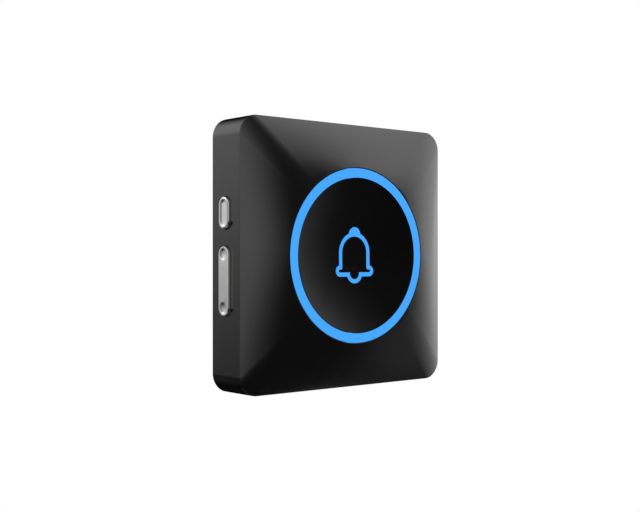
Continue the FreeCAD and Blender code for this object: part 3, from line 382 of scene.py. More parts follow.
class Sheet:
    """A node tree with one short call for each node and its links."""

    UNIT: Flat = (0.0, 1.0)
    COLOUR_INPUTS = (6, 7)
    COLOUR_OUTPUT = 2
    SPACING = (220, -260)
    PER_ROW = 8

    def __init__(self, tree: Tree) -> None:
        """Starts on an empty tree."""
        self.tree = tree
        tree.nodes.clear()

    def node(self, kind: str, inputs: Inputs | None = None, **settings: object) -> Node:
        """Adds a node.

        Args:
            kind: Type name of the node, without its common start.
            inputs: Values or links by input name or number.
            **settings: Properties of the node.

        Returns:
            The node.
        """
        made = self.tree.nodes.new(kind if kind.startswith("NodeGroup") else "ShaderNode" + kind)
        row, column = divmod(len(self.tree.nodes), self.PER_ROW)
        made.location = (self.SPACING[0] * column, self.SPACING[1] * row)
        for key, value in settings.items():
            setattr(made, key, value)
        for key, value in (inputs or {}).items():
            if isinstance(value, Socket):
                self.tree.links.new(value, made.inputs[key])
            else:
                made.inputs[key].default_value = value
        return made

    def maths(self, operation: str, first: Value, second: Value = 0.0) -> Socket:
        """Adds a calculation with two values.

        Args:
            operation: Name of the operation.
            first: Value or link.
            second: Value or link.

        Returns:
            The result's socket.
        """
        return self.node("Math", {0: first, 1: second}, operation=operation).outputs[0]

    def between(self, value: Value, span: Flat, results: Flat = UNIT,
                fade: str = "LINEAR") -> Socket:
        """Maps a value from one range to another, held at its ends.

        Args:
            value: Link to map.
            span: Start and end of its range.
            results: Results at the start and the end.
            fade: Name of the way between them.

        Returns:
            The result's socket.
        """
        inputs = {"Value": value, "From Min": span[0], "From Max": span[1],
                  "To Min": results[0], "To Max": results[1]}
        return self.node("MapRange", inputs, interpolation_type=fade).outputs["Result"]

    def blend(self, share: Value, first: Shade, second: Shade) -> Socket:
        """Mixes two colours.

        Args:
            share: Link or value from the first to the second.
            first: Colour or link at 0.
            second: Colour or link at 1.

        Returns:
            The mixed colour's socket.
        """
        inputs: Inputs = {"Factor": share}
        for place, colour in zip(self.COLOUR_INPUTS, (first, second)):
            linked = isinstance(colour, Socket)
            inputs[place] = colour if linked else (*colour, 1.0)
        return self.node("Mix", inputs, data_type="RGBA").outputs[self.COLOUR_OUTPUT]

    def noise(self, place: Socket, scale: Value, detail: float,
              roughness: float = 0.5, distortion: float = 0.0) -> Socket:
        """Adds a cloudy pattern.

        Args:
            place: Link with the place in it.
            scale: Value or link with its waves in a metre.
            detail: Number of finer layers.
            roughness: Strength of the finer layers.
            distortion: How far it is stirred.

        Returns:
            The pattern's socket.
        """
        inputs = {"Vector": place, "Scale": scale, "Detail": detail,
                  "Roughness": roughness, "Distortion": distortion}
        return self.node("TexNoise", inputs).outputs["Fac"]

    def place(self) -> Socket:
        """Gives the place on the object."""
        return self.node("TexCoord").outputs["Object"]

    def waves(self, width_mm: Socket) -> Socket:
        """Gives the waves in a metre for a width in millimetres."""
        return self.maths("DIVIDE", 1 / MM, width_mm)


class SurfaceEffects:
    """Shared effects, each a node group that is made once. Scales are waves in a metre."""

    FLOW_SCALE = 38.0
    TOUCH_SCALE = 130.0
    LINE_SCALE = 4200.0
    TARNISH_SCALE = 260.0
    BLOTCH_SCALE = 180.0
    TOUCH_SPAN: Flat = (0.52, 0.72)
    FLOW_SPAN: Flat = (0.4, 0.7)
    PIT_SHARE = 0.5
    THREAD_WAVER = 0.4

    made: dict[str, Tree] = {}

    @classmethod
    def group(cls, name: str, inputs: dict[str, float], outputs: tuple[str, ...],
              draw: Draw) -> Tree:
        """Gives a group, and makes it on its first use.

        Args:
            name: Name of the group.
            inputs: Input values by name.
            outputs: Output names.
            draw: Adds the nodes and gives the output links by name.

        Returns:
            The group's tree.
        """
        if name not in cls.made:
            tree = bpy.data.node_groups.new(name, "ShaderNodeTree")
            number = {"socket_type": "NodeSocketFloat"}
            for label, value in inputs.items():
                socket = tree.interface.new_socket(label, in_out="INPUT", **number)
                socket.default_value = value
            for label in outputs:
                tree.interface.new_socket(label, in_out="OUTPUT", **number)
            sheet = Sheet(tree)
            entry = sheet.node("NodeGroupInput")
            sheet.node("NodeGroupOutput", dict(draw(sheet, entry)))
            cls.made[name] = tree
        return cls.made[name]

    @classmethod
    def moulded(cls) -> Tree:
        """Fine mould texture with faint flow and handling marks.

        Returns:
            The group's tree.
        """

        def draw(sheet: Sheet, entry: Node) -> dict[str, Socket]:
            """Adds the nodes of the effect.

            Args:
                sheet: The group's tree.
                entry: Node with the group's inputs.

            Returns:
                Links by the names of the group's outputs.
            """
            place = sheet.place()
            fine = sheet.waves(entry.outputs["Grain mm"])
            grain = sheet.noise(place, fine, detail=2.0, roughness=0.6)
            pits = sheet.node("TexVoronoi", {"Vector": place, "Scale": fine}).outputs["Distance"]
            flow = sheet.noise(place, cls.FLOW_SCALE, detail=3.0, distortion=0.6)
            touch = sheet.noise(place, cls.TOUCH_SCALE, detail=4.0)
            marks = sheet.maths("MULTIPLY", sheet.between(touch, cls.TOUCH_SPAN),
                                sheet.between(flow, cls.FLOW_SPAN))
            height = sheet.maths("ADD", grain, sheet.maths("MULTIPLY", pits, cls.PIT_SHARE))
            return {"Height": height, "Flow": flow, "Handling": marks}

        outputs = ("Height", "Flow", "Handling")
        return cls.group("Moulded surface", {"Grain mm": 0.2}, outputs, draw)

    @classmethod
    def drawn(cls) -> Tree:
        """Short lines that drawing, turning or brushing leaves on metal.

        Returns:
            The group's tree.
        """

        def draw(sheet: Sheet, entry: Node) -> dict[str, Socket]:
            """Adds the nodes of the effect.

            Args:
                sheet: The group's tree.
                entry: Node with the group's inputs.

            Returns:
                Links by the names of the group's outputs.
            """
            place = sheet.place()
            ratio = sheet.node("CombineXYZ", {0: 1.0, 1: entry.outputs["Stretch"], 2: 1.0})
            pulled = sheet.node("VectorMath", {0: place, 1: ratio.outputs[0]}, operation="MULTIPLY")
            lines = sheet.noise(pulled.outputs[0], cls.LINE_SCALE, detail=3.0)
            cloud = sheet.noise(place, cls.TARNISH_SCALE, detail=3.0)
            return {"Height": lines, "Cloud": cloud}

        return cls.group("Drawn metal", {"Stretch": 0.08}, ("Height", "Cloud"), draw)

    @classmethod
    def woven(cls) -> Tree:
        """Cross-laid threads under the skin of a laminate or in a taped winding.

        Returns:
            The group's tree.
        """

        def draw(sheet: Sheet, entry: Node) -> dict[str, Socket]:
            """Adds the nodes of the effect.

            Args:
                sheet: The group's tree.
                entry: Node with the group's inputs.

            Returns:
                Links by the names of the group's outputs.
            """
            place = sheet.place()
            fine = sheet.waves(entry.outputs["Thread mm"])
            inputs = {"Vector": place, "Scale": fine, "Distortion": cls.THREAD_WAVER}
            threads = [sheet.node("TexWave", inputs, bands_direction=way) for way in ("X", "Z")]
            weave = sheet.maths("MAXIMUM", *(thread.outputs["Fac"] for thread in threads))
            return {"Height": weave, "Cloud": sheet.noise(place, cls.BLOTCH_SCALE, detail=3.0)}

        return cls.group("Woven layers", {"Thread mm": 0.5}, ("Height", "Cloud"), draw)


def tint(colour: Colour, share: float) -> Colour:
    """Gives a darker or lighter copy of a colour."""
    return tuple(min(1.0, part * share) for part in colour)


@dataclass(frozen=True)
class Finish:
    """A surface with a name; its subclasses say what it is made of.

    A noise lies mostly within a span, and mapping that span gives the whole range of a tone.
    """

    name: str

    CLOUD_SPAN = (0.35, 0.65)
    WIDE_SPAN = (0.3, 0.7)

    def material(self) -> bpy.types.Material:
        """Gives the material, and makes it on its first use.

        Returns:
            The material.
        """
        found = bpy.data.materials.get(self.name)
        if found is None:
            found = bpy.data.materials.new(self.name)
            found.use_nodes = True
            sheet = Sheet(found.node_tree)
            shader = sheet.node("BsdfPrincipled", self.paint(sheet))
            sheet.node("OutputMaterial", {"Surface": shader.outputs[0]})
        return found

    def paint(self, sheet: Sheet) -> Inputs:
        """Adds the nodes of the surface.

        Args:
            sheet: The material's tree.

        Returns:
            Values and links by the name of the shader's input.
        """
        raise NotImplementedError

    @staticmethod
    def effect(sheet: Sheet, tree: Tree, label: str, value: float) -> list[Socket]:
        """Places a shared effect.

        Args:
            sheet: The material's tree.
            tree: The effect's group.
            label: Name of its input.
            value: Value of its input.

        Returns:
            The group's output links, in their order.
        """
        return list(sheet.node("Group", {label: value}, node_tree=tree).outputs)

    @staticmethod
    def bump(sheet: Sheet, height: Socket, depth_mm: float) -> Socket:
        """Presses a height into the surface.

        Args:
            sheet: The material's tree.
            height: Link with the height from 0 to 1.
            depth_mm: Depth at 1.

        Returns:
            Link with the normal.
        """
        inputs = {"Height": height, "Strength": 1.0, "Distance": depth_mm * MM}
        return sheet.node("Bump", inputs).outputs[0]


@dataclass(frozen=True)
class MouldedPlastic(Finish):
    """Moulded plastic with mould texture, flow tone and handling marks."""

    colour: Colour = (0.006, 0.006, 0.0065)
    roughness: float = 0.4
    grain_mm: float = 0.16
    depth_mm: float = 0.0015
    marks: float = 0.05
    tones: Flat = (0.88, 1.12)
    spread: float = 0.01

    def paint(self, sheet: Sheet) -> Inputs:
        """Adds the texture, tone and marks.

        Args:
            sheet: The material's tree.

        Returns:
            Values and links by the name of the shader's input.
        """
        group = SurfaceEffects.moulded()
        height, flow, touched = self.effect(sheet, group, "Grain mm", self.grain_mm)
        marks = sheet.between(touched, Sheet.UNIT, (0.0, self.marks))
        shine = (self.roughness - self.spread, self.roughness + self.spread)
        tones = [tint(self.colour, share) for share in self.tones]
        return {
            "Base Color": sheet.blend(flow, *tones),
            "Roughness": sheet.maths("ADD", marks, sheet.between(flow, self.WIDE_SPAN, shine)),
            "Normal": self.bump(sheet, height, self.depth_mm),
        }


@dataclass(frozen=True)
class LitPlastic(Finish):
    """Translucent plastic lit from behind by lamps; its glow is dimmed to a painted shade on its
    side walls.
    """

    glow: Colour = (0.056, 0.382, 0.972)
    glow_tones: Flat = (0.985, 1.01)
    # Painted shade: a dark glow on faces turned away from the front, for the shade in the gap round
    # the ring.
    wall_painted_shade: Colour = (0.0006, 0.0030, 0.0080)
    wall_shade_span: Flat = (-0.75, -0.45)
    body: tuple[Colour, Colour] = ((0.004, 0.012, 0.024), (0.005, 0.014, 0.028))
    roughness: Flat = (0.4, 0.46)
    grain_mm: float = 0.12
    depth_mm: float = 0.001
    gloss: float = 0.1

    def paint(self, sheet: Sheet) -> Inputs:
        """Adds the glow, the painted shade on its side walls and the texture.

        Args:
            sheet: The material's tree.

        Returns:
            Values and links by the name of the shader's input.
        """
        group = SurfaceEffects.moulded()
        height, flow, touched = self.effect(sheet, group, "Grain mm", self.grain_mm)
        cloud = sheet.between(flow, self.CLOUD_SPAN)
        glow = sheet.blend(cloud, *(tint(self.glow, share) for share in self.glow_tones))
        # The glow fades to the painted shade on side walls, which stands in for the shade of the
        # gap by the shell.
        facing = sheet.node("SeparateXYZ", {0: sheet.node("TexCoord").outputs["Normal"]})
        front = sheet.between(facing.outputs["Y"], self.wall_shade_span, (1.0, 0.0))
        return {
            "Base Color": sheet.blend(cloud, *self.body),
            "Roughness": sheet.between(touched, Sheet.UNIT, self.roughness),
            "Specular IOR Level": self.gloss,
            "Emission Color": sheet.blend(front, self.wall_painted_shade, glow),
            "Emission Strength": 1.0,
            "Normal": self.bump(sheet, height, self.depth_mm),
        }


@dataclass(frozen=True)
class SatinMetal(Finish):
    """Metal or metal-coated surface with drawn lines and a cloudy tone."""

    colour: Colour = (0.52, 0.52, 0.51)
    roughness: float = 0.28
    metallic: float = 1.0
    stretch: float = 0.08
    depth_mm: float = 0.0006
    dull: float = 0.95
    spread: float = 0.03

    def paint(self, sheet: Sheet) -> Inputs:
        """Adds the lines and the tone.

        Args:
            sheet: The material's tree.

        Returns:
            Values and links by the name of the shader's input.
        """
        height, cloud = self.effect(sheet, SurfaceEffects.drawn(), "Stretch", self.stretch)
        share = sheet.between(cloud, self.CLOUD_SPAN)
        shine = (self.roughness - self.spread, self.roughness + self.spread)
        return {
            "Base Color": sheet.blend(share, tint(self.colour, self.dull), self.colour),
            "Metallic": self.metallic,
            "Roughness": sheet.between(height, self.WIDE_SPAN, shine),
            "Normal": self.bump(sheet, height, self.depth_mm),
        }


@dataclass(frozen=True)
class LayeredBoard(Finish):
    """Laminate, tape or paper whose threads show through its skin."""

    colour: Colour = (0.01, 0.085, 0.035)
    roughness: float = 0.42
    thread_mm: float = 0.6
    depth_mm: float = 0.004
    contrast: float = 0.18
    shine: Flat = (-0.04, 0.06)
    patches: Flat = (0.5, 1.0)

    def paint(self, sheet: Sheet) -> Inputs:
        """Adds the threads and the tone.

        Args:
            sheet: The material's tree.

        Returns:
            Values and links by the name of the shader's input.
        """
        height, cloud = self.effect(sheet, SurfaceEffects.woven(), "Thread mm", self.thread_mm)
        patchy = sheet.between(cloud, self.WIDE_SPAN, self.patches)
        tones = [tint(self.colour, share) for share in (1 - self.contrast, 1 + self.contrast)]
        shine = (self.roughness + self.shine[0], self.roughness + self.shine[1])
        return {
            "Base Color": sheet.blend(sheet.maths("MULTIPLY", height, patchy), *tones),
            "Roughness": sheet.between(cloud, self.WIDE_SPAN, shine),
            "Normal": self.bump(sheet, height, self.depth_mm),
        }


BODY = MouldedPlastic("Satin black housing", (0.0028, 0.0028, 0.0030), 0.19, marks=0.02)
PANEL = MouldedPlastic("Black panel skin", (0.0008, 0.0008, 0.0009), 0.19, depth_mm=0.001,
                       marks=0.02)
COVER = MouldedPlastic("Grained black cover", (0.009, 0.009, 0.0095), 0.5, 0.45, 0.008)
BAFFLE = MouldedPlastic("Dull black baffle", (0.010, 0.010, 0.010), 0.6)
SLEEVE = MouldedPlastic("Black pin sleeve", (0.012, 0.012, 0.013), 0.45)
RUBBER = MouldedPlastic("Soft black rubber", (0.020, 0.020, 0.020), 0.75, 0.3, 0.006)
FOAM = MouldedPlastic("Closed-cell foam", (0.030, 0.030, 0.032), 0.95, 0.25, 0.05)
LAMP = MouldedPlastic("Lamp body", (0.75, 0.72, 0.55), 0.35)
EPOXY = MouldedPlastic("Chip epoxy", (0.012, 0.012, 0.013), 0.55)
SWITCH = MouldedPlastic("Switch nylon", (0.015, 0.015, 0.016), 0.5)
ACETAL = MouldedPlastic("White acetal", (0.75, 0.75, 0.72), 0.4)
NYLON = MouldedPlastic("Natural nylon", (0.74, 0.71, 0.62), 0.5)
PRESSING = MouldedPlastic("Black painted pressing", (0.02, 0.02, 0.022), 0.4)
FERRITE = MouldedPlastic("Dark ferrite", (0.045, 0.045, 0.048), 0.7, 0.3, 0.01)
SHRINK = MouldedPlastic("Capacitor sleeve", (0.020, 0.022, 0.050), 0.3)
CERAMIC = MouldedPlastic("Resistor coat", (0.20, 0.30, 0.28), 0.55)
LIT = LitPlastic("Lit blue guide")
KEY = SatinMetal("Silver-grey key coat", (0.63, 0.63, 0.62), 0.16, 0.94, 1.0)
NICKEL = SatinMetal("Nickel plate", (0.62, 0.60, 0.56), 0.18)
STEEL = SatinMetal("Zinc-plated steel", (0.42, 0.42, 0.43), 0.34)
COPPER = SatinMetal("Enamelled copper wire", (0.72, 0.30, 0.12), 0.3)
CAN = SatinMetal("Tinned can", (0.62, 0.62, 0.60), 0.32, stretch=1.0)
BRASS = SatinMetal("Brass strip", (0.70, 0.50, 0.22), 0.25)
POT = SatinMetal("Zinc-plated pot", (0.50, 0.50, 0.49), 0.3)
MAGNET = SatinMetal("Nickel-plated magnet", (0.62, 0.60, 0.55), 0.15)
GREEN_BOARD = LayeredBoard("Green circuit laminate")
BROWN_BOARD = LayeredBoard("Brown circuit laminate", (0.30, 0.17, 0.06), 0.55)
PAPER = LayeredBoard("Treated cone paper", (0.045, 0.042, 0.040), 0.85, 0.35, 0.01)
TAPE = LayeredBoard("Yellow winding tape", (0.75, 0.55, 0.06), 0.35, 1.2, contrast=0.06)


def settle(piece: bpy.types.Object, node: str, body: str = "housing") -> None:
    """Puts a piece in the place of a construction node.

    Args:
        piece: The piece.
        node: Node that it stands for.
        body: Moving body that carries it.
    """
    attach(piece, body)
    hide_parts(node)
    LOG.info("%s stands for %s: %d faces", piece.name, node, len(piece.data.polygons))


@dataclass(frozen=True)
class Dressing:
    """Surface and softened edges for nodes whose construction shape is right."""

    finish: Finish
    edge_mm: float
    weld_mm: float = 0.001
    flat_angle: float = 0.5
    edge_angle: float = 40.0
    segments: int = 2

    def put_on(self, *nodes: str) -> None:
        """Dresses nodes.

        Args:
            *nodes: Names of the nodes.
        """
        material = self.finish.material()
        for node in nodes:
            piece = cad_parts[node]
            if not piece.material_slots:
                piece.data.materials.append(None)
            for place in piece.material_slots:
                place.link = "OBJECT"
                place.material = material
            self.soften(piece)
            LOG.info("%s dressed in %s", node, self.finish.name)

    def soften(self, piece: bpy.types.Object) -> None:
        """Joins a piece's flat faces and rounds its edges.

        Args:
            piece: The piece.
        """
        weld = piece.modifiers.new("Weld", "WELD")
        weld.merge_threshold = self.weld_mm * MM
        flat = piece.modifiers.new("Join flats", "DECIMATE")
        flat.decimate_type = "DISSOLVE"
        flat.angle_limit = math.radians(self.flat_angle)
        soft = piece.modifiers.new("Soft edges", "BEVEL")
        soft.width = self.edge_mm * MM
        soft.segments = self.segments
        soft.limit_method = "ANGLE"
        soft.angle_limit = math.radians(self.edge_angle)
        soft.use_clamp_overlap = True
        shade_evenly(piece)


@dataclass(frozen=True)
class Stud:
    """Round boss with a screw hole in its rear end, one in each corner of the shell."""

    at: float
    radius: float
    bore: float
    y_front: float
    y_rear: float
    depth: float
    edge: float = 0.1

    def profile(self) -> list[Flat]:
        """Outline of the boss and its hole.

        Returns:
            Pairs of radius and level from the front end, round the outside, to the hole's floor.
        """
        floor = self.y_rear - self.depth
        outside = [(0, self.y_front), (self.radius, self.y_front),
                   (self.radius, self.y_rear - self.edge), (self.radius - self.edge, self.y_rear)]
        return outside + [(self.bore, self.y_rear), (self.bore, floor), (0, floor)]


@dataclass
class FrontShell:
    """Side walls, faceted front, key slots, the ring's seat, and the hollow behind them."""

    corner: float = 6.2
    wall: float = 2.0
    crown: float = 0.493
    skew: float = 0.041
    hip_turn: float = 6.46
    rear_edge: float = 0.06
    crease_round: float = 0.06
    land_r: float = 28.2
    seat_r: float = 28.0
    seat_edge: float = 0.12
    flange_r: float = 29.3
    hollow_half: float = 29.6
    hollow_corner: float = 27.67
    y_hollow: float = -30.443
    notch_half: float = 13.0
    notch_depth: float = 0.8
    notch_edge: float = 0.02
    slot_width: float = 5.4
    slot_edge: float = 0.1
    slots: tuple[Flat, ...] = ((10.2, SELECT_Z), (21.5, ROCKER_Z))
    cover_boss: Stud = Stud(SCREW_AT, 3.0, 1.0, -32.6, Y_COVER_IN, 8.0)
    board_post: Stud = Stud(25.0, 2.5, 0.8, -35.3, Y_BOARD_FRONT, 5.0)
    corner_rib: tuple[Flat, ...] = ((34.93, 34.07), (39.6, 38.75), (38.75, 39.6), (34.07, 34.93))
    y_corner_rib: float = -30.4
    wall_rib: Flat = (39.4, 41.4)
    wall_rib_half: float = 0.6
    y_wall_rib: float = -30.2
    cheek_r: float = 1.4
    cheek_root: float = -41.0
    cheek_t: float = 1.2
    y_cheeks: Flat = (-28.55, -21.95)
    bearing_r: float = 1.05
    stud_steps: int = 40
    facet_rows: int = 30
    arc_steps: int = 32
    side_steps: int = 24
    bend_steps: int = 6
    hollow_steps: int = 6
    draft: MeshDraft = field(default_factory=MeshDraft)

    @property
    def reach(self) -> float:
        """Half length of a side's straight part."""
        return HALF - self.corner

    def marks(self, side: Side) -> list[float]:
        """Places of the points along one straight side, as shares of its length.

        Args:
            side: The side. The bottom one has more points, at the sound channel's ends.

        Returns:
            Shares between 0 and 1.
        """
        shares = [step / self.side_steps for step in range(1, self.side_steps)]
        if side is Side.BOTTOM:
            ends = [self.notch_half, self.notch_half + self.notch_edge]
            shares += [0.5 + sign * end / (2 * self.reach) for sign in (-1, 1) for end in ends]
        return sorted(shares)

    def row(self, half: float, corner: float, y: float, notch: float = 0.0) -> list[Point]:
        """One level line of the body.

        Args:
            half: Half of its width.
            corner: Its corner radius.
            y: Its level.
            notch: Depth by which it steps in over the sound channel.

        Returns:
            Closed loop of points.
        """
        reach = half - corner
        bends = [arc(x * reach, z * reach, corner, 90 * at, 90 * (at + 1), self.arc_steps)
                 for at, (x, z) in enumerate(CORNERS)]
        points: list[Point] = []
        for side, bend in zip(Side, bends):
            points += [(x, y, z) for x, z in bend]
            start, end = bend[-1], bends[(side + 1) % len(bends)][0]
            for share in self.marks(side):
                from_middle = abs(share - 0.5) * 2 * self.reach
                over = side is Side.BOTTOM and from_middle < self.notch_half + self.notch_edge / 2
                x, z = (mix(a, b, share) for a, b in zip(start, end))
                points.append((x, y - notch if over else y, z))
        return points

    def round_row(self, radius: float, y: float) -> list[Point]:
        """A circle with a point for each of a level line's.

        Each corner takes a short arc of it, so that the hip between two facets stays narrow.

        Args:
            radius: Radius of the circle.
            y: Its level.

        Returns:
            Closed loop of points.
        """
        turns: list[float] = []
        for side in Side:
            first, last = (45 + 90 * side + sign * self.hip_turn for sign in (-1, 1))
            turns += [mix(first, last, step / self.arc_steps) for step in range(self.arc_steps + 1)]
            turns += [mix(last, first + 90, share) for share in self.marks(side)]
        return [(radius * math.cos(t), y, radius * math.sin(t)) for t in map(math.radians, turns)]

    def front_row(self, share: float) -> list[Point]:
        """One line of the faceted front, between the crease and the ring's land.

        Args:
            share: 0 at the crease, 1 at the land.

        Returns:
            Closed loop of points.
        """
        bulge = share * (1 - share) * (self.crown + self.skew * (1 - 2 * share))
        y = mix(Y_CREASE, Y_FRONT, share + bulge)
        pairs = zip(self.row(HALF, self.corner, y), self.round_row(self.land_r, y))
        return [(mix(a[0], b[0], share), y, mix(a[2], b[2], share)) for a, b in pairs]

    def bend_rows(self, share: float) -> list[list[Point]]:
        """Lines of the small round over the crease.

        Args:
            share: Where it ends, as a share of the way from the crease to the land.

        Returns:
            Closed loops of points.
        """
        near = zip(self.row(HALF, self.corner, Y_CREASE + self.crease_round),
                   self.row(HALF, self.corner, Y_CREASE), self.front_row(share))
        columns = [tuple(zip(*points)) for points in near]
        rows = []
        for step in range(self.bend_steps + 1):
            u = step / self.bend_steps
            weights = ((1 - u) ** 2, 2 * u * (1 - u), u ** 2)
            rows.append([tuple(sum(w * value for w, value in zip(weights, values))
                               for values in column) for column in columns])
        return rows

    def outer_rows(self) -> list[list[Point]]:
        """Level lines from the rear rim round the outside to the ring's seat.

        Returns:
            Closed loops of points.
        """
        rows = [self.row(HALF - inset, self.corner - inset, Y_BACK - depth, self.notch_depth)
                for inset, depth in quarter(self.rear_edge)]
        bent = self.crease_round / (HALF - self.land_r)
        rows += self.bend_rows(bent)
        rows += [self.front_row(mix(bent, 1.0, step / self.facet_rows))
                 for step in range(1, self.facet_rows + 1)]
        rows += [self.round_row(self.seat_r + inset, Y_FRONT + depth)
                 for inset, depth in quarter(self.seat_edge, steps=3)]
        seat = ((self.seat_r, Y_FLANGE), (self.flange_r, Y_FLANGE), (self.flange_r, Y_FLANGE_BACK))
        return rows + [self.round_row(radius, y) for radius, y in seat]

    def hollow_rows(self) -> list[list[Point]]:
        """Level lines from the ring's seat through the hollow back to the rear rim.

        Returns:
            Closed loops of points.
        """
        half_in, corner_in = HALF - self.wall, self.corner - self.wall
        rows = []
        for step in range(self.hollow_steps + 1):
            y = mix(Y_FLANGE_BACK, self.y_hollow, step / self.hollow_steps)
            share = (y - Y_FLANGE) / (self.y_hollow - Y_FLANGE)
            half = mix(self.hollow_half, half_in, share)
            rows.append(self.row(half, mix(self.hollow_corner, corner_in, share), y))
        return rows + [self.row(half_in, corner_in, Y_BACK, self.notch_depth)]

    def walls(self) -> None:
        """Draws the skin, with the key slots through the left wall."""
        draft = self.draft
        outer = [draft.loop(row) for row in self.outer_rows()]
        hollow = [draft.loop(row) for row in self.hollow_rows()]
        before = self.arc_steps + 1 + len(self.marks(Side.TOP))
        first = before + self.arc_steps
        last = before + self.arc_steps + 1 + len(self.marks(Side.LEFT))
        rings = outer + hollow + outer[:1]
        walls = {EDGE_STEPS, len(rings) - 3}
        faces = []
        for at, (one, two) in enumerate(zip(rings, rings[1:])):
            draft.bridge(one, two, range(first, last) if at in walls else ())
            if at in walls:
                faces.append(one[first:last + 1] + two[first:last + 1][::-1])
        ends = []
        for length, z in self.slots:
            rows = [oblong(self.slot_width + 2 * inset, length + 2 * inset, depth - HALF, z)
                    for inset, depth in quarter(self.slot_edge, steps=4)]
            rows.append(oblong(self.slot_width, length, self.wall - HALF, z))
            loops = draft.stack(rows)
            ends.append((loops[0], loops[-1]))
        for face, holes in zip(faces, zip(*ends)):
            draft.fill(face, *holes)

    def fittings(self) -> None:
        """Draws the bosses, posts, ribs and bearing cheeks inside."""
        draft = self.draft
        for x, z in CORNERS:
            for stud in (self.cover_boss, self.board_post):
                draft.turn(stud.profile(), self.stud_steps, (x * stud.at, 0, z * stud.at))
            rib = [(x * a, z * b) for a, b in self.corner_rib]
            draft.plate(self.y_corner_rib, Y_COVER_IN, rib)
        near, far = self.wall_rib
        for middle in (-HALF / 2, HALF / 2):
            low, high = middle - self.wall_rib_half, middle + self.wall_rib_half
            for box in ((low, near, high, far), (low, -far, high, -near), (near, low, far, high)):
                draft.plate(self.y_wall_rib, Y_COVER_IN, slab(*box))
        nose = arc(AXLE_X, ROCKER_Z, self.cheek_r, -90, 90, steps=20)
        root = [(self.cheek_root, ROCKER_Z + sign * self.cheek_r) for sign in (1, -1)]
        hole = circle(self.bearing_r, steps=32, x=AXLE_X, z=ROCKER_Z)
        for y in self.y_cheeks:
            draft.plate(y, y + self.cheek_t, nose + root, hole)

    def build(self) -> None:
        """Builds the shell and settles it on the housing."""
        self.walls()
        self.fittings()
        settle(self.draft.make("shell_body", BODY), "front_shell")


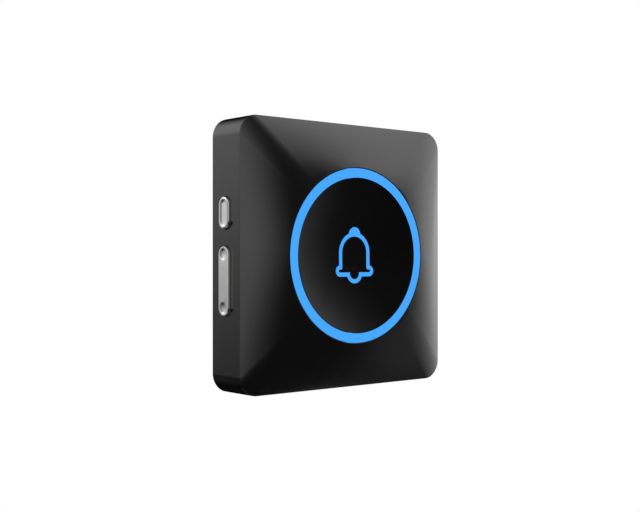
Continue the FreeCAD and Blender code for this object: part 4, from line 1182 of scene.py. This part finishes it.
@dataclass
class LightPanel:
    """Lit ring, dished panel and lit bell in the middle of the front, with their baffle."""

    ring_inner: float = 24.87
    ring_outer: float = 27.87
    ring_edge: float = 0.06
    lip_inner: float = 23.9
    lip_outer: float = 29.2
    dish_r: float = 24.77
    dish_edge: float = 0.16
    dish_rings: tuple[float, ...] = (24.65, 23.0, 20.5, 18.0, 15.5, 13.0, 11.0, 10.0)
    step_r: float = 23.4
    sphere_r: float = 139.8
    y_sphere: float = -175.2
    y_dish_back: float = -33.6
    y_plate_back: float = -32.6
    plate_r: float = 11.5
    half: float = 6.55
    line: float = 1.36
    dome_z: float = 0.9
    lobe_x: float = 6.25
    lobe_z: float = -4.95
    lobe_r: float = 1.8
    clapper_z: float = -5.65
    clapper_r: float = 3.3
    clapper_line: float = 1.35
    knob_x: float = 2.476
    knob_z: float = 6.6
    knob_r: float = 2.5
    steps: int = 192
    plate_steps: int = 96
    baffle_edge: float = 0.1
    facing: float = 0.9
    nearness: float = 0.02

    def level(self, x: float, z: float) -> float:
        """Level along Y of the dished face at a place in the XZ plane."""
        return self.y_sphere + math.sqrt(self.sphere_r ** 2 - x * x - z * z)

    def normal_at(self, corner: Vector, face_normal: Vector) -> Vector | None:
        """Exact normal of the dished face.

        Args:
            corner: A corner in millimetres.
            face_normal: Normal of its face.

        Returns:
            The ball's normal on the front, or None elsewhere.
        """
        off_face = abs(corner.y - self.level(corner.x, corner.z))
        if face_normal.y > -self.facing or off_face > self.nearness:
            return None
        return Vector((-corner.x, self.y_sphere - corner.y, -corner.z)).normalized()

    def outer_outline(self) -> list[Flat]:
        """Outside of the bell with its knob.

        Returns:
            Closed loop of points in the XZ plane.
        """
        lobe_top = self.lobe_z + math.sqrt(self.lobe_r ** 2 - (self.half - self.lobe_x) ** 2)
        base = self.lobe_z - self.lobe_r
        clap = math.degrees(math.asin((base - self.clapper_z) / self.clapper_r))
        lobe_turn = math.degrees(math.acos((self.half - self.lobe_x) / self.lobe_r))
        dome_end = math.degrees(math.acos(self.knob_x / self.half))
        join_z = self.dome_z + self.half * math.sin(math.radians(dome_end))
        knob_turn = math.degrees(math.asin((join_z - self.knob_z) / self.knob_r))
        right = arc(0, self.dome_z, self.half, 0, dome_end, steps=26)
        knob = arc(0, self.knob_z, self.knob_r, knob_turn, 180 - knob_turn, steps=40)
        left = arc(0, self.dome_z, self.half, 180 - dome_end, 180, steps=26)
        left += upright(-self.half, self.dome_z, lobe_top)
        left += arc(-self.lobe_x, self.lobe_z, self.lobe_r, 180 - lobe_turn, 270, steps=24)
        clapper = arc(0, self.clapper_z, self.clapper_r, 180 - clap, 360 + clap, steps=40)
        right_lobe = arc(self.lobe_x, self.lobe_z, self.lobe_r, -90, lobe_turn, steps=24)
        return (right + knob[1:-1] + left + clapper + right_lobe
                + upright(self.half, lobe_top, self.dome_z))

    def inner_outline(self) -> list[Flat]:
        """Inside of the bell, one line width in from the outside.

        Returns:
            Closed loop of points in the XZ plane.
        """
        half = self.half - self.line
        tip = self.lobe_r - self.clapper_line
        flare = self.lobe_x - half - tip
        elbow = self.lobe_z + tip + flare
        clap_r = self.clapper_r - self.clapper_line
        clap = math.degrees(math.asin((self.lobe_z - tip - self.clapper_z) / clap_r))
        points = arc(0, self.dome_z, half, 0, 180, steps=44)
        points += upright(-half, self.dome_z, elbow)
        points += arc(-half - flare, elbow, flare, 0, -90, steps=10)
        points += arc(-self.lobe_x, self.lobe_z, tip, 90, 270, steps=14)
        points += arc(0, self.clapper_z, clap_r, 180 - clap, 360 + clap, steps=30)
        points += arc(self.lobe_x, self.lobe_z, tip, -90, 90, steps=14)
        points += arc(half + flare, elbow, flare, 270, 180, steps=10)
        return points + upright(half, elbow, self.dome_z)

    def on_face(self, draft: MeshDraft, outline: list[Flat]) -> list[int]:
        """Lays a line of the XZ plane on the dished face, and gives its numbers."""
        return draft.loop((x, self.level(x, z), z) for x, z in outline)

    def ring(self) -> None:
        """Lit ring with its flange and softly rounded face edges."""
        edge = [(inset, Y_FRONT + depth) for inset, depth in quarter(self.ring_edge, steps=4)]
        profile = [(self.ring_inner + inset, y) for inset, y in reversed(edge)]
        profile += [((self.ring_inner + self.ring_outer) / 2, Y_FRONT)]
        profile += [(self.ring_outer - inset, y) for inset, y in edge]
        profile += [(self.ring_outer, Y_FLANGE), (self.lip_outer, Y_FLANGE),
                    (self.lip_outer, Y_FLANGE_BACK), (self.lip_inner, Y_FLANGE_BACK),
                    (self.lip_inner, Y_FLANGE), (self.ring_inner, Y_FLANGE)]
        draft = MeshDraft()
        draft.turn(profile, self.steps, closed=True)
        settle(draft.make("ring_lens", LIT), "light_ring")

    def dish(self) -> None:
        """Dished panel round the bell, with its stepped rim and flat back."""
        draft = MeshDraft()
        rings = [self.on_face(draft, circle(radius, self.steps)) for radius in self.dish_rings]
        outline = self.outer_outline()
        mouth = self.on_face(draft, outline)
        draft.fill(rings[-1], mouth)
        rim = ((self.dish_r, Y_FRONT + self.dish_edge), (self.dish_r, Y_FLANGE),
               (self.step_r, Y_FLANGE), (self.step_r, self.y_dish_back))
        sides = [draft.level(circle(radius, self.steps), y) for radius, y in rim]
        draft.chain(rings[::-1] + sides)
        way_out = draft.level(outline, self.y_dish_back)
        draft.bridge(mouth, way_out)
        draft.fill(sides[-1], way_out)
        piece = draft.make("dish_face", PANEL, normal_at=self.normal_at)
        settle(piece, "dish_panel")

    def bell_line(self) -> None:
        """Lit bell line on its plate."""
        draft = MeshDraft()
        outlines = (self.outer_outline(), self.inner_outline())
        front = [self.on_face(draft, outline) for outline in outlines]
        back = [draft.level(outline, self.y_dish_back) for outline in outlines]
        draft.fill(*front)
        for one, two in zip(front, back):
            draft.bridge(one, two)
        disc = circle(self.plate_r, self.plate_steps)
        plate, rear = (draft.level(disc, y) for y in (self.y_dish_back, self.y_plate_back))
        draft.fill(plate, back[0])
        draft.fill(back[1])
        draft.bridge(plate, rear)
        draft.fill(rear)
        piece = draft.make("bell_line", LIT, normal_at=self.normal_at)
        settle(piece, "bell_window")

    def bell_centre(self) -> None:
        """Piece of the panel's skin inside the bell."""
        draft = MeshDraft()
        inner = self.inner_outline()
        front, back = self.on_face(draft, inner), draft.level(inner, self.y_dish_back)
        draft.fill(front)
        draft.bridge(front, back)
        draft.fill(back)
        piece = draft.make("bell_centre", PANEL, normal_at=self.normal_at)
        settle(piece, "bell_island")

    def build(self) -> None:
        """Builds the four pieces and dresses the baffle."""
        self.ring()
        self.dish()
        self.bell_line()
        self.bell_centre()
        Dressing(BAFFLE, self.baffle_edge).put_on("light_baffle")


@dataclass
class SideKeys:
    """Select key and volume rocker on the left side.

    The crown and the lip are pairs of inset from the key's side and depth below its face.
    """

    x_face: float = -43.5
    width: float = 5.0
    select_length: float = 9.7
    rocker_length: float = 21.0
    press_z: Flat = (0.4, -16.0)
    edge: float = 0.12
    crown: tuple[Flat, ...] = ((0.48, 0.0), (0.36, 0.012), (0.24, 0.04), (0.14, 0.075))
    crown_drop: float = 0.09
    lip: tuple[Flat, ...] = ((0.45, 0.0), (0.6, 0.01), (0.75, 0.03), (0.9, 0.06), (1.02, 0.10),
                             (1.12, 0.155), (1.2, 0.215), (1.28, 0.265), (1.34, 0.29), (1.4, 0.30))
    dimple_steps: int = 48
    flange: float = 0.8
    x_flange: Flat = (-40.35, -39.35)
    shell: float = 0.9
    x_shell: float = -39.9
    x_hollow: float = -42.3
    post_r: float = 1.2
    post_end: float = -38.5
    post_edge: float = 0.1
    post_sink: float = 0.05
    axle: Flat = (1.0, 3.8)
    hub: Flat = (1.4, 2.4)
    web_half: float = 1.0
    web_reach: float = 1.65
    round_steps: int = 36
    crease: float = 50.0

    def line(self, length: float, z: float, inset: float, x: float) -> list[Point]:
        """One level line of a key.

        Args:
            length: Length of the key.
            z: Middle of the key.
            inset: Distance inside the key's side.
            x: Level along X.

        Returns:
            Closed loop of points.
        """
        return oblong(self.width - 2 * inset, length - 2 * inset, x, z)

    def post(self, draft: MeshDraft, z: float, root: float) -> None:
        """Draws a post that presses on a switch.

        Args:
            draft: Draft to add to.
            z: Middle along Z.
            root: Level of its root along X.
        """
        tip = self.post_end - self.post_edge
        profile = [(0, root), (self.post_r, root), (self.post_r, tip),
                   (self.post_r - self.post_edge, self.post_end), (0, self.post_end)]
        draft.turn(profile, self.round_steps, (0, Y_KEYS, z), Axis.X)

    def select_key(self) -> None:
        """Short key with its oblong recess, flange and post."""
        rim = [(inset, depth + self.crown_drop) for inset, depth in quarter(self.edge)]
        lines = (*self.lip[::-1], *self.crown, *rim)
        levels = [(inset, self.x_face + depth) for inset, depth in lines]
        near, far = self.x_flange
        levels += [(0.0, near), (-self.flange, near), (-self.flange, far)]
        draft = MeshDraft()
        loops = draft.stack(self.line(self.select_length, SELECT_Z, *level) for level in levels)
        draft.fill(loops[0])
        draft.fill(loops[-1])
        self.post(draft, SELECT_Z, far - self.post_sink)
        piece = draft.make("select_cap", KEY, self.crease)
        settle(piece, "select_button", "select_key")

    def rocker(self) -> None:
        """Long key with two dimples, its hollow back, trunnions and press posts."""
        draft = MeshDraft()
        levels = [(inset, self.x_face + depth) for inset, depth in quarter(self.edge)]
        levels += [(0.0, self.x_shell), (self.shell, self.x_shell), (self.shell, self.x_hollow)]
        loops = draft.stack(self.line(self.rocker_length, ROCKER_Z, *level) for level in levels)
        draft.fill(loops[-1])
        dimple = [(self.width / 2 - inset, self.x_face + depth) for inset, depth in self.lip]
        dimple.append((0, dimple[-1][1]))
        root = self.x_hollow - self.post_sink
        mouths = []
        for z in self.press_z:
            mouths += draft.turn(dimple, self.dimple_steps, (0, Y_KEYS, z), Axis.X)[:1]
            self.post(draft, z, root)
        draft.fill(loops[0], *mouths)
        for radius, reach in (self.axle, self.hub):
            ends = (Y_KEYS - reach, Y_KEYS + reach)
            profile = [(0, ends[0]), (radius, ends[0]), (radius, ends[1]), (0, ends[1])]
            draft.turn(profile, self.round_steps, (AXLE_X, 0, ROCKER_Z))
        web = slab(root, ROCKER_Z - self.web_half, AXLE_X, ROCKER_Z + self.web_half)
        draft.plate(Y_KEYS - self.web_reach, Y_KEYS + self.web_reach, web)
        piece = draft.make("volume_cap", KEY, self.crease)
        settle(piece, "volume_rocker", "rocker")

    def build(self) -> None:
        """Builds both keys."""
        self.select_key()
        self.rocker()


@dataclass
class RearSide:
    """Rear cover, its screws, and the plug pins with their sleeves."""

    cover_edge: float = 0.15
    head_r: float = 2.2
    head_t: float = 1.3
    head_drop: float = 0.05
    head_round: float = 0.45
    thread_r: float = 0.95
    thread_length: float = 8.0
    point: float = 0.6
    point_r: float = 0.4
    recess_half: float = 0.34
    recess_reach: float = 1.25
    recess_depth: float = 0.85
    recess_draft: float = 0.12
    screw_steps: int = 48
    pin_x: float = 9.5
    pin_r: float = 2.0
    pin_end: float = 19.0
    pin_round: float = 0.9
    shoulder: float = 0.15
    tail_r: float = 1.1
    tail_end: float = -23.2
    tail_edge: float = 0.2
    collar_r: float = 2.8
    collar: Flat = (-4.0, -2.5)
    core_r: float = 1.5
    sleeve_r: float = 1.8
    sleeve_end: float = 10.0
    sleeve_edge: float = 0.1
    pin_steps: int = 56

    def cross(self, grow: float) -> list[Flat]:
        """Outline of a screwdriver cross.

        Args:
            grow: Distance by which it is larger than at its floor.

        Returns:
            Twelve points round the middle.
        """
        arm, half = self.recess_reach + grow, self.recess_half + grow / 2
        first = [(arm, -half), (arm, half), (half, half)]
        points: list[Flat] = []
        for c, s in ((1, 0), (0, 1), (-1, 0), (0, -1)):
            points += [(a * c - b * s, a * s + b * c) for a, b in first]
        return points

    def screws(self) -> None:
        """Four pan-head screws with cross recesses, flush with the cover."""
        face = Y_BACK - self.head_drop
        seat = Y_BACK - self.head_t
        end = seat - self.thread_length
        profile = [(self.head_r - inset, face - depth) for inset, depth in quarter(self.head_round)]
        profile += [(self.head_r, seat), (self.thread_r, seat), (self.thread_r, end + self.point),
                    (self.point_r, end), (0, end)]
        draft = MeshDraft()
        for corner in CORNERS:
            x, z = (sign * SCREW_AT for sign in corner)
            crown = draft.turn(profile, self.screw_steps, (x, 0, z))[0]
            levels = ((self.recess_draft, face), (0.0, face - self.recess_depth))
            mouth, floor = draft.stack(
                [(x + a, y, z + b) for a, b in self.cross(grow)] for grow, y in levels)
            draft.fill(floor)
            draft.fill(crown, mouth)
        settle(draft.make("cover_screw_heads", STEEL), "case_screws")

    def pins(self) -> None:
        """Two plated pins with rounded tips."""
        profile = [(0, self.tail_end), (self.tail_r - self.tail_edge, self.tail_end),
                   (self.tail_r, self.tail_end + self.tail_edge)]
        root, face = self.collar
        profile += [(self.tail_r, root), (self.collar_r, root), (self.collar_r, face),
                    (self.core_r, face), (self.core_r, self.sleeve_end),
                    (self.pin_r - self.shoulder, self.sleeve_end),
                    (self.pin_r, self.sleeve_end + self.shoulder)]
        profile += arc(self.pin_r - self.pin_round, self.pin_end - self.pin_round,
                       self.pin_round, 0, 90, steps=10)
        profile.append((0, self.pin_end))
        draft = MeshDraft()
        for sign in (-1, 1):
            draft.turn(profile, self.pin_steps, (sign * self.pin_x, 0, 0))
        settle(draft.make("plated_pins", NICKEL), "plug_pins")

    def sleeves(self) -> None:
        """Insulating sleeves round the root of each pin."""
        root, end = self.collar[1], self.sleeve_end
        profile = [(self.core_r, root), (self.sleeve_r, root),
                   (self.sleeve_r, end - self.sleeve_edge), (self.sleeve_r - self.sleeve_edge, end),
                   (self.core_r, end)]
        draft = MeshDraft()
        for sign in (-1, 1):
            draft.turn(profile, self.pin_steps, (sign * self.pin_x, 0, 0), closed=True)
        settle(draft.make("pin_root_sleeves", SLEEVE), "pin_sleeves")

    def build(self) -> None:
        """Dresses the cover and builds the pieces of the rear side."""
        Dressing(COVER, self.cover_edge).put_on("rear_cover")
        self.screws()
        self.pins()
        self.sleeves()


@dataclass
class Boards:
    """Main board and power board with what they carry, in the construction's shapes."""

    fine_edge: float = 0.05
    edge: float = 0.1
    core_edge: float = 0.15

    def main_board(self) -> None:
        """Dresses the main board, its lamps, chips, radio, switches and screws."""
        Dressing(GREEN_BOARD, self.fine_edge).put_on("main_board")
        Dressing(LAMP, self.fine_edge).put_on("ring_leds", "icon_leds")
        Dressing(EPOXY, self.fine_edge).put_on(
            "microcontroller", "melody_memory", "audio_amplifier", "board_header")
        Dressing(CAN, self.edge).put_on("radio_module", "crystal")
        Dressing(BRASS, self.fine_edge).put_on("antenna_strip")
        Dressing(NYLON, self.edge).put_on("speaker_plug")
        Dressing(STEEL, self.edge).put_on("main_board_screws")
        keys = ("select", "volume_up", "volume_down")
        Dressing(SWITCH, self.edge).put_on(*(f"{key}_switch" for key in keys))
        Dressing(ACETAL, self.edge).put_on(*(f"{key}_plunger" for key in keys))

    def power_board(self) -> None:
        """Dresses the power board, its transformer, chips, capacitors and resistor."""
        Dressing(BROWN_BOARD, self.fine_edge).put_on("power_board")
        Dressing(EPOXY, self.fine_edge).put_on("bridge_rectifier", "converter_chip")
        Dressing(FERRITE, self.core_edge).put_on("transformer_core")
        Dressing(TAPE, self.edge).put_on("transformer_winding")
        Dressing(SHRINK, self.edge).put_on("smoothing_capacitors")
        Dressing(CERAMIC, self.edge).put_on("fuse_resistor")

    def build(self) -> None:
        """Dresses both boards."""
        self.main_board()
        self.power_board()


@dataclass
class Loudspeaker:
    """Loudspeaker with its soft and wound pieces, and its lead."""

    z: float = -25.0
    rim_y: float = -20.75
    neck_y: float = -21.8
    cone_r: float = 10.3
    neck_gap: float = 0.3
    neck_lap: float = 0.2
    centre_share: float = 0.94
    skin: float = 0.25
    wall_in: float = 12.0
    glue_gap: float = 0.03
    roll_rise: float = 0.4
    coil_r: float = 5.25
    coil_t: float = 0.27
    coil_length: float = 2.0
    coil_turns: int = 16
    wire_bulge: float = 0.03
    y_foam: float = -20.3
    foam_r: float = 14.0
    foam_edge: float = 0.2
    foam_pinch: float = 0.05
    core: float = 1.1
    core_half: Flat = (0.53, 0.5)
    core_steps: int = 16
    lead_width: float = 2.2
    lead_bend: float = 2.6
    clip_length: float = 1.0
    clip_overlap: float = 0.5
    steps: int = 96
    coil_steps: int = 72
    centre_steps: int = 8
    flare_steps: int = 12
    roll_steps: int = 10
    wire_steps: int = 4
    soft_crease: float = 60.0
    lead_crease: float = 50.0
    frame_edge: float = 0.08
    edge: float = 0.1
    magnet_edge: float = 0.15

    def turned(self, profile: list[Flat], steps: int, closed: bool = True) -> MeshDraft:
        """Draws a body of revolution on the loudspeaker's axis.

        Args:
            profile: Pairs of radius and level.
            steps: Number of faces round it.
            closed: Whether the profile's end joins its start.

        Returns:
            The draft.
        """
        draft = MeshDraft()
        draft.turn(profile, steps, (0, 0, self.z), closed=closed)
        return draft

    def cone(self) -> None:
        """Paper cone: a flat centre over the coil and a straight flare, one skin thick."""
        neck = self.coil_r + self.neck_gap
        top = self.neck_y + self.skin
        centre = neck * self.centre_share
        front = [(centre * step / self.centre_steps, top) for step in range(self.centre_steps + 1)]
        shares = [step / self.flare_steps for step in range(1, self.flare_steps + 1)]
        flare = [(mix(neck - self.neck_lap, self.cone_r, share), mix(top, self.rim_y, share))
                 for share in shares]
        rear = [(radius, y - self.skin) for radius, y in reversed(flare)]
        profile = front + flare + rear + [(neck, self.neck_y), (0, self.neck_y)]
        piece = self.turned(profile, self.steps, False).make("paper_cone", PAPER, self.soft_crease)
        settle(piece, "speaker_cone", "diaphragm")

    def surround(self) -> None:
        """Thin rubber roll between cone and basket."""
        inner = self.cone_r + self.glue_gap
        shares = [step / self.roll_steps for step in range(self.roll_steps + 1)]
        front = [(mix(inner, self.wall_in, share),
                  self.rim_y + self.roll_rise * math.sin(math.pi * share)) for share in shares]
        rear = [(radius, y - self.skin) for radius, y in reversed(front)]
        piece = self.turned(front + rear, self.steps).make("rubber_roll", RUBBER, self.soft_crease)
        settle(piece, "speaker_surround")

    def coil(self) -> None:
        """Copper wire wound in rows on the former."""
        top, bottom = self.neck_y, self.neck_y - self.coil_length
        count = self.wire_steps * self.coil_turns
        outside = []
        for step in range(count + 1):
            bulge = self.wire_bulge * abs(math.sin(math.pi * step / self.wire_steps))
            outside.append((self.coil_r + self.coil_t + bulge, mix(bottom, top, step / count)))
        profile = [(self.coil_r, bottom)] + outside + [(self.coil_r, top)]
        piece = self.turned(profile, self.coil_steps).make("wound_coil", COPPER, self.soft_crease)
        settle(piece, "voice_coil", "diaphragm")

    def gasket(self) -> None:
        """Foam ring with soft edges."""
        y0, y1, edge = self.y_foam, Y_COVER_IN, self.foam_edge
        middle = (y0 + y1) / 2
        inner, outer = self.wall_in, self.foam_r
        profile = [(inner, y0), (outer, y0), (outer, y0 + edge), (outer - self.foam_pinch, middle),
                   (outer, y1 - edge), (outer, y1), (inner, y1), (inner, y1 - edge),
                   (inner + self.foam_pinch, middle), (inner, y0 + edge)]
        piece = self.turned(profile, self.steps).make("foam_ring", FOAM)
        settle(piece, "speaker_gasket")

    def lead(self) -> None:
        """Flat two-core lead: down from its plug, round one bend, and across to the basket."""
        low, high = (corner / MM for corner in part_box("speaker_lead"))
        aside, deep = self.core_half
        section = [(aside * a, deep * b) for a, b in circle(1.0, self.core_steps)]
        draft = MeshDraft()
        for index in range(2):
            inset = self.core * (0.5 + index)
            bend = arc(high.x - self.lead_bend, low.z + self.lead_bend, self.lead_bend - inset,
                       0, -90, steps=10)
            path = [(high.x - inset, high.z)] + bend + [(low.x + self.clip_overlap, low.z + inset)]
            rows = []
            for at, (x, z) in enumerate(path):
                before, after = path[max(0, at - 1)], path[min(len(path) - 1, at + 1)]
                run = Vector(after) - Vector(before)
                run.normalize()
                rows.append([(x - run.y * a, low.y + deep + b, z + run.x * a) for a, b in section])
            loops = draft.stack(rows)
            draft.fill(loops[0])
            draft.fill(loops[-1])
        clip = slab(low.x, low.z, low.x + self.clip_length, low.z + self.lead_width)
        draft.plate(low.y, high.y, clip)
        piece = draft.make("two_core_lead", RUBBER, self.lead_crease)
        settle(piece, "speaker_lead")

    def build(self) -> None:
        """Builds the soft and wound pieces, and dresses the pressed and turned ones."""
        self.cone()
        self.surround()
        self.coil()
        self.gasket()
        self.lead()
        Dressing(PRESSING, self.frame_edge).put_on("speaker_frame")
        Dressing(STEEL, self.edge).put_on("speaker_screws")
        Dressing(POT, self.magnet_edge).put_on("speaker_yoke")
        Dressing(POT, self.edge).put_on("speaker_top_plate")
        Dressing(MAGNET, self.magnet_edge).put_on("speaker_magnet")


@dataclass(frozen=True)
class SoftBox:
    """A large soft light, given by where it stands as seen from the object.

    Turns are in degrees from straight in front, positive to the right, and heights are above
    the horizon. Its edges are half of each fade's width. It leans in turn with height, and
    slants in height with turn.
    """

    name: str
    radiance: float
    turns: Flat
    heights: Flat
    turn_edges: Flat = (14.0, 14.0)
    height_edges: Flat = (14.0, 14.0)
    lean: float = 0.0
    slant: float = 0.0

    def glow(self, sheet: Sheet, turn: Socket, height: Socket) -> Socket:
        """Adds the box to the surroundings.

        Args:
            sheet: The world's tree.
            turn: Link with the turn, in degrees.
            height: Link with the height, in degrees.

        Returns:
            Link with the box's light in that direction.
        """
        middle = sum(self.turns) / 2
        ends = (self.turns[0] - middle, self.turns[1] - middle)
        aside = {0: sheet.maths("SUBTRACT", turn, middle), 1: 180.0, 2: -180.0}
        wrapped = sheet.node("Math", aside, operation="WRAP").outputs[0]
        leaning = sheet.maths("SUBTRACT", wrapped, sheet.maths("MULTIPLY", height, self.lean))
        raised = sheet.maths("ADD", height, sheet.maths("MULTIPLY", wrapped, self.slant))
        across = self.window(sheet, leaning, ends, self.turn_edges)
        high = self.window(sheet, raised, self.heights, self.height_edges)
        return sheet.maths("MULTIPLY", sheet.maths("MULTIPLY", across, high), self.radiance)

    @staticmethod
    def window(sheet: Sheet, place: Socket, ends: Flat, edges: Flat) -> Socket:
        """Fades the box in over its first edge and out over its second.

        Args:
            sheet: The world's tree.
            place: Link with the place across the box.
            ends: Places where it is at half strength.
            edges: Half of each edge's width.

        Returns:
            Link from 1 inside to 0 outside.
        """
        halves = [sheet.between(place, (end - edge, end + edge), results, "SMOOTHSTEP")
                  for end, edge, results in zip(ends, edges, (Sheet.UNIT, Sheet.UNIT[::-1]))]
        return sheet.maths("MULTIPLY", *halves)


@dataclass
class Studio:
    """Camera, white surroundings, pale floor, and soft boxes with a black flag between them.

    The flag takes light away where it stands. The backdrop is the part of the white
    background that glossy rays see. Sizes here are in metres.
    """

    camera_at: Point = (-0.22495, -0.28698, -0.00016)
    turn_degrees: float = -39.94
    lens: float = 59.07
    sensor: float = 36.0
    nearest: float = 0.01
    room: float = 0.008
    boxes: tuple[SoftBox, ...] = (
        SoftBox("Left box", 1.71, (-62.0, -6.5), (-8.1, 100.0), (12.0, 20.7), (10.7, 10.0), -0.93),
        SoftBox("Leaning left box", 1.71, (-62.0, -0.3), (-3.6, 100.0), (12.0, 22.9), (3.0, 10.0),
                0.25),
        SoftBox("Rear left box", 1.88, (-163.8, -118.0), (3.6, 72.0), (30.4, 14.0), (18.6, 10.0),
                -0.22, -0.28),
        SoftBox("High right box", 2.0, (27.7, 109.4), (-0.6, 130.0), (14.6, 54.0), (9.65, 10.0),
                0.3, 0.67),
        SoftBox("Right box", 1.69, (64.9, 106.5), (-32.8, 70.0), (20.0, 41.8), (33.5, 10.0),
                0.33, 0.69),
        SoftBox("Far right box", 2.2, (83.0, 109.6), (-46.1, 60.0), (20.2, 25.0), (28.5, 10.0),
                0.98, 0.87),
        SoftBox("Front room", 0.041, (-112.0, 112.0), (-100.0, 100.0), height_edges=(9.0, 9.0)),
        SoftBox("Left fill", 0.3, (-125.0, -55.0), (-30.0, 100.0), (10.0, 10.0), (12.0, 10.0)),
        SoftBox("Rear fill", 0.7, (-212.0, -158.0), (-22.0, 24.0), height_edges=(10.0, 12.0)),
    )
    flag: SoftBox = SoftBox("Black flag", 1.0, (120.0, 162.0), (-70.0, 75.0), (8.0, 6.0),
                            (10.0, 10.0))
    backdrop: SoftBox = SoftBox("Backdrop", 1.0, (123.0, 157.0), (-9.0, 9.0), (4.0, 4.0),
                                (3.0, 3.0))
    floor_z: float = -0.6
    floor_r: float = 0.5
    floor_steps: int = 96
    floor_tones: Flat = (0.79, 0.81)
    floor_cloud: float = 3.0
    floor_white: float = 1.15
    fade: Flat = (0.65, 0.95)
    fade_shares: Flat = (0.84, 1.0)

    def camera(self) -> None:
        """Sets the camera at the photograph's viewing angle."""
        data = bpy.data.cameras.new("Camera")
        data.lens = self.lens
        data.sensor_width = self.sensor
        data.clip_start = self.nearest
        camera = bpy.data.objects.new("Camera", data)
        camera.location = self.camera_at
        camera.rotation_euler = (math.pi / 2, 0.0, math.radians(self.turn_degrees))
        bpy.context.scene.collection.objects.link(camera)
        bpy.context.scene.camera = camera

    def light(self, sheet: Sheet, turn: Socket, height: Socket) -> Socket:
        """Adds the dim room and the boxes, less what the flag takes.

        Args:
            sheet: The world's tree.
            turn: Link with the turn, in degrees.
            height: Link with the height, in degrees.

        Returns:
            Link with the light in that direction.
        """
        total: Value = self.room
        for box in self.boxes:
            total = sheet.maths("MAXIMUM", box.glow(sheet, turn, height), total)
        left = sheet.maths("SUBTRACT", 1.0, self.flag.glow(sheet, turn, height))
        return sheet.maths("MULTIPLY", total, left)

    def surroundings(self) -> None:
        """White background, and soft boxes in a dim room that light the object.

        Camera and transmission rays see the white everywhere. Glossy rays see it where it
        stands behind the object.
        """
        world = bpy.data.worlds.new("Studio")
        world.use_nodes = True
        sheet = Sheet(world.node_tree)
        ways = sheet.node("TexCoord").outputs["Generated"]
        split = sheet.node("SeparateXYZ", {0: ways})
        ahead = sheet.maths("MULTIPLY", split.outputs["Y"], -1.0)
        turn = sheet.maths("DEGREES", sheet.maths("ARCTAN2", split.outputs["X"], ahead))
        height = sheet.maths("DEGREES", sheet.maths("ARCSINE", split.outputs["Z"]))
        lit = {"Color": (1, 1, 1, 1), "Strength": self.light(sheet, turn, height)}
        white = {"Color": (1, 1, 1, 1), "Strength": 1.0}
        seen = sheet.node("LightPath").outputs
        backdrop = self.backdrop.glow(sheet, turn, height)
        mirrored = sheet.maths("MULTIPLY", seen["Is Glossy Ray"], backdrop)
        straight = sheet.maths("MAXIMUM", seen["Is Camera Ray"], seen["Is Transmission Ray"])
        inputs = {0: sheet.maths("MAXIMUM", straight, mirrored),
                  1: sheet.node("Background", lit).outputs[0],
                  2: sheet.node("Background", white).outputs[0]}
        final = sheet.node("MixShader", inputs)
        sheet.node("OutputWorld", {"Surface": final.outputs[0]})
        bpy.context.scene.world = world

    def floor_material(self) -> bpy.types.Material:
        """Pale finish that catches the shadow, and is white to rays that see it directly.

        Returns:
            The material.
        """
        material = bpy.data.materials.new("Pale floor")
        material.use_nodes = True
        sheet = Sheet(material.node_tree)
        place = sheet.place()
        tones = [(tone, tone, tone) for tone in self.floor_tones]
        tone = sheet.blend(sheet.noise(place, self.floor_cloud, detail=2.0), *tones)
        seen = sheet.node("LightPath").outputs
        far = sheet.node("VectorMath", {0: place}, operation="LENGTH").outputs["Value"]
        span = (self.floor_r * self.fade[0], self.floor_r * self.fade[1])
        mirrored = sheet.maths("MAXIMUM", seen["Is Glossy Ray"], seen["Is Transmission Ray"])
        direct = sheet.maths("MAXIMUM", seen["Is Camera Ray"], mirrored)
        white = {"Color": (1, 1, 1, 1), "Strength": self.floor_white}
        inputs = {0: sheet.maths("MULTIPLY", direct, sheet.between(far, span, self.fade_shares)),
                  1: sheet.node("BsdfDiffuse", {"Color": tone}).outputs[0],
                  2: sheet.node("Emission", white).outputs[0]}
        mixed = sheet.node("MixShader", inputs)
        sheet.node("OutputMaterial", {"Surface": mixed.outputs[0]})
        return material

    def floor(self) -> None:
        """Plain pale floor that keeps the object's shadow."""
        mesh = bpy.data.meshes.new("Floor")
        rim = circle(self.floor_r, self.floor_steps)
        mesh.from_pydata([(x, y, self.floor_z) for x, y in rim], [], [tuple(range(len(rim)))])
        mesh.materials.append(self.floor_material())
        floor = bpy.data.objects.new("Floor", mesh)
        bpy.context.scene.collection.objects.link(floor)

    def build(self) -> None:
        """Sets up the studio."""
        self.camera()
        self.surroundings()
        self.floor()
        bpy.context.scene.view_settings.view_transform = "Standard"
        LOG.info("studio set with %d soft boxes", len(self.boxes))


def main() -> None:
    """Builds the object's sub-assemblies in order, then the studio."""
    logging.basicConfig(level=logging.INFO, format="%(name)s: %(message)s")
    FrontShell().build()
    LightPanel().build()
    SideKeys().build()
    RearSide().build()
    Boards().build()
    Loudspeaker().build()
    Studio().build()


if __name__ == "__main__":
    main()
